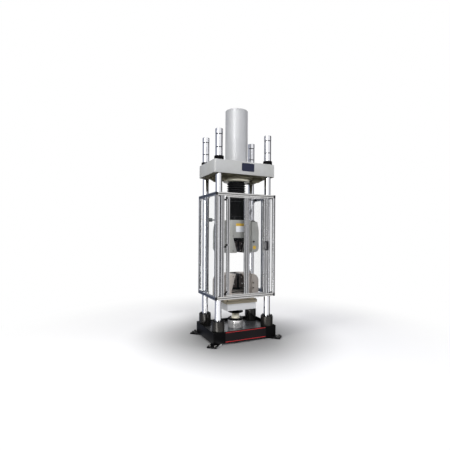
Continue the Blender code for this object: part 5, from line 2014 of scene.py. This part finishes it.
    def door(self) -> None:
        """Door frame of slotted stiles with thin rails and its hinge halves."""
        low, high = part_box("door_frame")
        x, y = self.hinge_axis()
        front, back = y + self.leaf_back, high.y
        left, right = x + self.door_gap, high.x
        sill, head = low.z + self.door_rail, high.z - self.door_rail
        forms = []
        stiles = ((left, left + self.door_stile), self.door_mullion, (right - self.door_stile, right))
        for first, last in stiles:
            forms += self.bar(Plane.XY, (first, front), (last, back), sill, head, "aluminium")
        # The door rails take the lighter aluminium copy, which is painted light.
        for first, last in ((low.z, sill), (head, high.z)):
            rail = block((left, front, first), (right, back, last), self.corner)
            forms.append((rail, "aluminium_across_painted_light"))
        for word in ("bottom", "middle", "top"):
            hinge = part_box("hinge_" + word)
            bottom, top = (hinge[0].z + hinge[1].z) / 2 + FIT, hinge[1].z + FIT
            sleeve = tube(self.pin + FIT, self.knuckle, bottom, top, self.knuckle_edge, 1)
            forms.append((turned(sleeve, (x, y, 0.0), 28, ring=True), "black_paint"))
            span = (x + self.strap_gap, left + self.leaf_reach)
            screws = (left + self.leaf_reach * self.screw_share, front - self.leaf)
            forms += self.leaf_forms(span, front + FIT, (bottom, top), screws)
        self.shop.piece("door_profiles", forms, "aluminium", "door_frame", "door")

    def handle(self) -> None:
        """Bow handle with rounded shoulders, on two feet."""
        low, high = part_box("door_handle")
        bar, past = self.handle_bar, 0.01
        outside, inside = self.handle_rounds
        outer = [(high.y, high.z, 0.0), (high.y, low.z, 0.0),
                 (low.y, low.z, outside), (low.y, high.z, outside)]
        inner = [(high.y + past, high.z - bar, 0.0), (high.y + past, low.z + bar, 0.0),
                 (low.y + bar, low.z + bar, inside), (low.y + bar, high.z - bar, inside)]
        form = prism(fillet(outer, 6), Plane.YZ, low.x + self.handle_slim, high.x)
        cutter = prism(fillet(inner, 6), Plane.YZ, low.x - past, high.x + past)
        form = soften(carve(form, [cutter]), 0.003, 3)
        self.shop.piece("bow_handle", [(form, "plastic_black")], "black_paint", "door_handle", "door")


@dataclass
class Studio:
    """Pale floor, soft lamps, pale surroundings and the camera.

    Attributes:
        camera_place: Where the camera stands.
        camera_azimuth: How far it looks to the right of +Y, in degrees.
        roll: How far the picture leans, in degrees.
        lens: Focal length for a 36 mm frame.
        shift: Shift of the frame across and up.
        floor_radius: Radius of the floor.
        floor_fade: Distances from the machine between which the floor turns white.
        floor_shown: Tone of the floor as it is seen.
        floor_bounce: Tone of the floor as it lights the machine.
        painted_shadow_tone: Tone of the darker floor near the base, a painted shadow.
        painted_shadow_fade: Distances between which that painted shadow ends.
        stripe: Heading, half width and strength of a bright stripe in the surroundings.
        ambient: Strength of the even light.
        even_tone: Colour that bright metal shows where there is no flag.
        flags: Heading, half width and colour of each flag that bright metal shows.
    """

    camera_place: Place = (-2.0906, -4.3129, 1.4417)
    camera_azimuth: float = 25.86
    roll: float = 0.338
    lens: float = 26.757
    shift: Pair = (-0.0244, 0.0217)
    floor_radius: float = 14.0
    floor_fade: Pair = (1.5, 3.6)
    floor_shown: float = 0.84
    floor_bounce: float = 0.08
    painted_shadow_tone: float = 0.27
    painted_shadow_fade: Pair = (0.35, 1.65)
    stripe: Place = (222.0, 8.5, 7.0)
    ambient: float = 0.36
    even_tone: Colour = (0.46, 0.465, 0.50)
    flags: tuple[tuple[float, float, Colour], ...] = (
        (252.0, 60.0, (0.940, 0.940, 0.950)),
        (64.0, 34.0, (0.850, 0.855, 0.880)),
        (130.0, 28.0, (0.300, 0.330, 0.420)),
        (96.0, 12.0, (0.060, 0.070, 0.110)),
        (350.0, 24.0, (0.120, 0.115, 0.110)),
    )

    def build(self) -> None:
        """Set up the whole studio."""
        surround = self.surround()
        self.floor(surround)
        self.world(surround)
        self.lamps()
        self.camera()
        bpy.context.scene.view_settings.view_transform = "Standard"

    def surround(self) -> Tree:
        """Even surroundings with flags and a bright stripe, by the heading that is looked in.

        Returns:
            The group.
        """
        board, given = new_group("studio_surround", "Heading", "Colour")
        level = board.vector("MULTIPLY", given["Heading"], (1.0, 1.0, 0.0)).outputs[0]
        heading = board.vector("NORMALIZE", level).outputs[0]
        shade: Feed = self.even_tone
        for azimuth, half_width, tint in self.flags:
            outer, inner = (math.cos(math.radians(half_width * share)) for share in (1.15, 0.75))
            flag = board.ramp(self.facing(board, heading, azimuth), outer, inner, smooth=True)
            shade = board.mix(flag, shade, tint)
        azimuth, half_width, strength = self.stripe
        outer = math.cos(math.radians(half_width))
        lit = board.ramp(self.facing(board, heading, azimuth), outer, 1.0, ends=(0.0, strength))
        return board.give(Colour=board.vector("ADD", shade, lit).outputs[0])

    def facing(self, board: Board, heading: Socket, azimuth: float) -> Socket:
        """Cosine of the angle between a heading and an azimuth in degrees."""
        turn = math.radians(azimuth)
        return board.vector("DOT_PRODUCT", heading, (math.cos(turn), math.sin(turn), 0.0)).outputs["Value"]

    def floor(self, surround: Tree) -> None:
        """Round floor with a painted shadow near the base, that fades into the background and shows the
        surroundings to bright metal.

        Args:
            surround: The group of the surroundings.
        """
        form = bmesh.new()
        bmesh.ops.create_circle(form, cap_ends=True, segments=96, radius=self.floor_radius)
        floor = loose_object("studio_floor", form)
        material = bpy.data.materials.new("floor_pale")
        material.use_nodes = True
        board = Board(material.node_tree)
        shader = board.tree.nodes["Principled BSDF"]
        rays = board.node("LightPath").outputs
        seen = board.math("MAXIMUM", rays["Is Camera Ray"], rays["Is Transmission Ray"])
        place = board.place()
        reach = board.vector("LENGTH", place).outputs["Value"]
        # Painted shadow: the floor as the camera sees it is darker near the base.
        away = board.ramp(reach, *self.painted_shadow_fade, smooth=True)
        pale = (self.floor_shown, self.floor_shown, self.floor_shown * 1.005)
        shown = board.mix(away, (self.painted_shadow_tone,) * 3, pale)
        board.feed(shader, {"Base Color": board.mix(seen, (self.floor_bounce,) * 3, shown),
                            "Roughness": 0.75, "Specular IOR Level": 0.1})
        around = board.group(surround, {"Heading": place}).outputs["Colour"]
        glow = board.node("Emission", {"Color": board.mix(seen, around, WHITE), "Strength": 1.0})
        faded = board.math("MULTIPLY", board.ramp(reach, *self.floor_fade, smooth=True), seen)
        share = board.math("MAXIMUM", faded, rays["Is Glossy Ray"])
        blend = board.node("MixShader", {0: share, 1: shader.outputs[0], 2: glow.outputs[0]})
        board.feed(board.tree.nodes["Material Output"], {"Surface": blend.outputs[0]})
        floor.data.materials.append(material)

    def world(self, surround: Tree) -> None:
        """White background, even light, and surroundings that only bright metal shows.

        Args:
            surround: The group of the surroundings.
        """
        world = bpy.data.worlds.new("studio_world")
        bpy.context.scene.world = world
        world.use_nodes = True
        board = Board(world.node_tree)
        board.tree.nodes.clear()
        heading = board.node("TexCoord").outputs["Generated"]
        around = board.group(surround, {"Heading": heading}).outputs["Colour"]
        rays = board.node("LightPath").outputs
        even = (self.ambient, self.ambient, self.ambient * 1.04)
        light = board.mix(rays["Is Glossy Ray"], even, around)
        seen = board.math("MAXIMUM", rays["Is Camera Ray"], rays["Is Transmission Ray"])
        sky = board.node("Background", {"Color": board.mix(seen, light, WHITE), "Strength": 1.0})
        board.node("OutputWorld", {"Surface": sky.outputs[0]})

    def lamps(self) -> None:
        """Soft rectangular lamps, aimed at the machine's middle: at the front, both sides and behind."""
        for name, place, size, power, tint in (
            ("key_lamp", (-1.2, -6.2, 4.6), (2.6, 2.6), 320.0, (0.985, 0.985, 1.0)),
            ("fill_lamp", (5.2, -3.4, 3.8), (2.0, 2.6), 110.0, (0.96, 0.97, 1.0)),
            ("side_lamp", (-5.6, -0.6, 4.0), (2.0, 2.6), 230.0, (1.0, 0.995, 0.97)),
            ("back_lamp", (1.8, 6.0, 4.2), (3.0, 2.0), 150.0, WHITE),
        ):
            light = bpy.data.lights.new(name, "AREA")
            light.shape = "RECTANGLE"
            light.size, light.size_y = size
            light.energy = power
            light.color = tint
            holder = bpy.data.objects.new(name, light)
            holder.location = place
            holder.visible_glossy = False
            aim = Vector((0.0, 0.0, 1.4)) - Vector(place)
            holder.rotation_euler = aim.to_track_quat("-Z", "Y").to_euler()
            bpy.context.scene.collection.objects.link(holder)

    def camera(self) -> None:
        """Camera at the photograph's place and angle."""
        data = bpy.data.cameras.new("camera")
        data.sensor_width = 36.0
        data.lens = self.lens
        data.shift_x, data.shift_y = self.shift
        data.clip_end = 100.0
        camera = bpy.data.objects.new("camera", data)
        bpy.context.scene.collection.objects.link(camera)
        heading = math.radians(self.camera_azimuth)
        ahead = Vector((math.sin(heading), math.cos(heading), 0.0))
        level = ahead.to_track_quat("-Z", "Y").to_matrix().to_4x4()
        turn = Matrix.Rotation(math.radians(self.roll), 4, "Z")
        camera.matrix_world = Matrix.Translation(self.camera_place) @ level @ turn
        bpy.context.scene.camera = camera


def main() -> None:
    """Build the machine's looks from the base up, then the studio."""
    logging.basicConfig(level=logging.INFO, format="%(message)s")
    shop = Shop()
    Base(shop).build()
    for corner in Corner:
        Column(shop, corner).build()
    for kind in (RodClamp, Crosshead, Actuator, LoadTrain):
        kind(shop).build()
    Grip(shop, "upper", "ram", "grip_grey", pocket_wide=0.110, pocket_depth=0.207, opens=-1,
         top_round=0.020, bottom_round=0.060, taper=0.025, taper_height=0.132).build()
    Grip(shop, "lower", "frame", "grip_beige", pocket_wide=0.140, pocket_depth=0.257, opens=1,
         top_round=0.100, bottom_round=0.035).build()
    GripTrim(shop).build()
    Guard(shop).build()
    Studio().build()


if __name__ == "__main__":
    main()
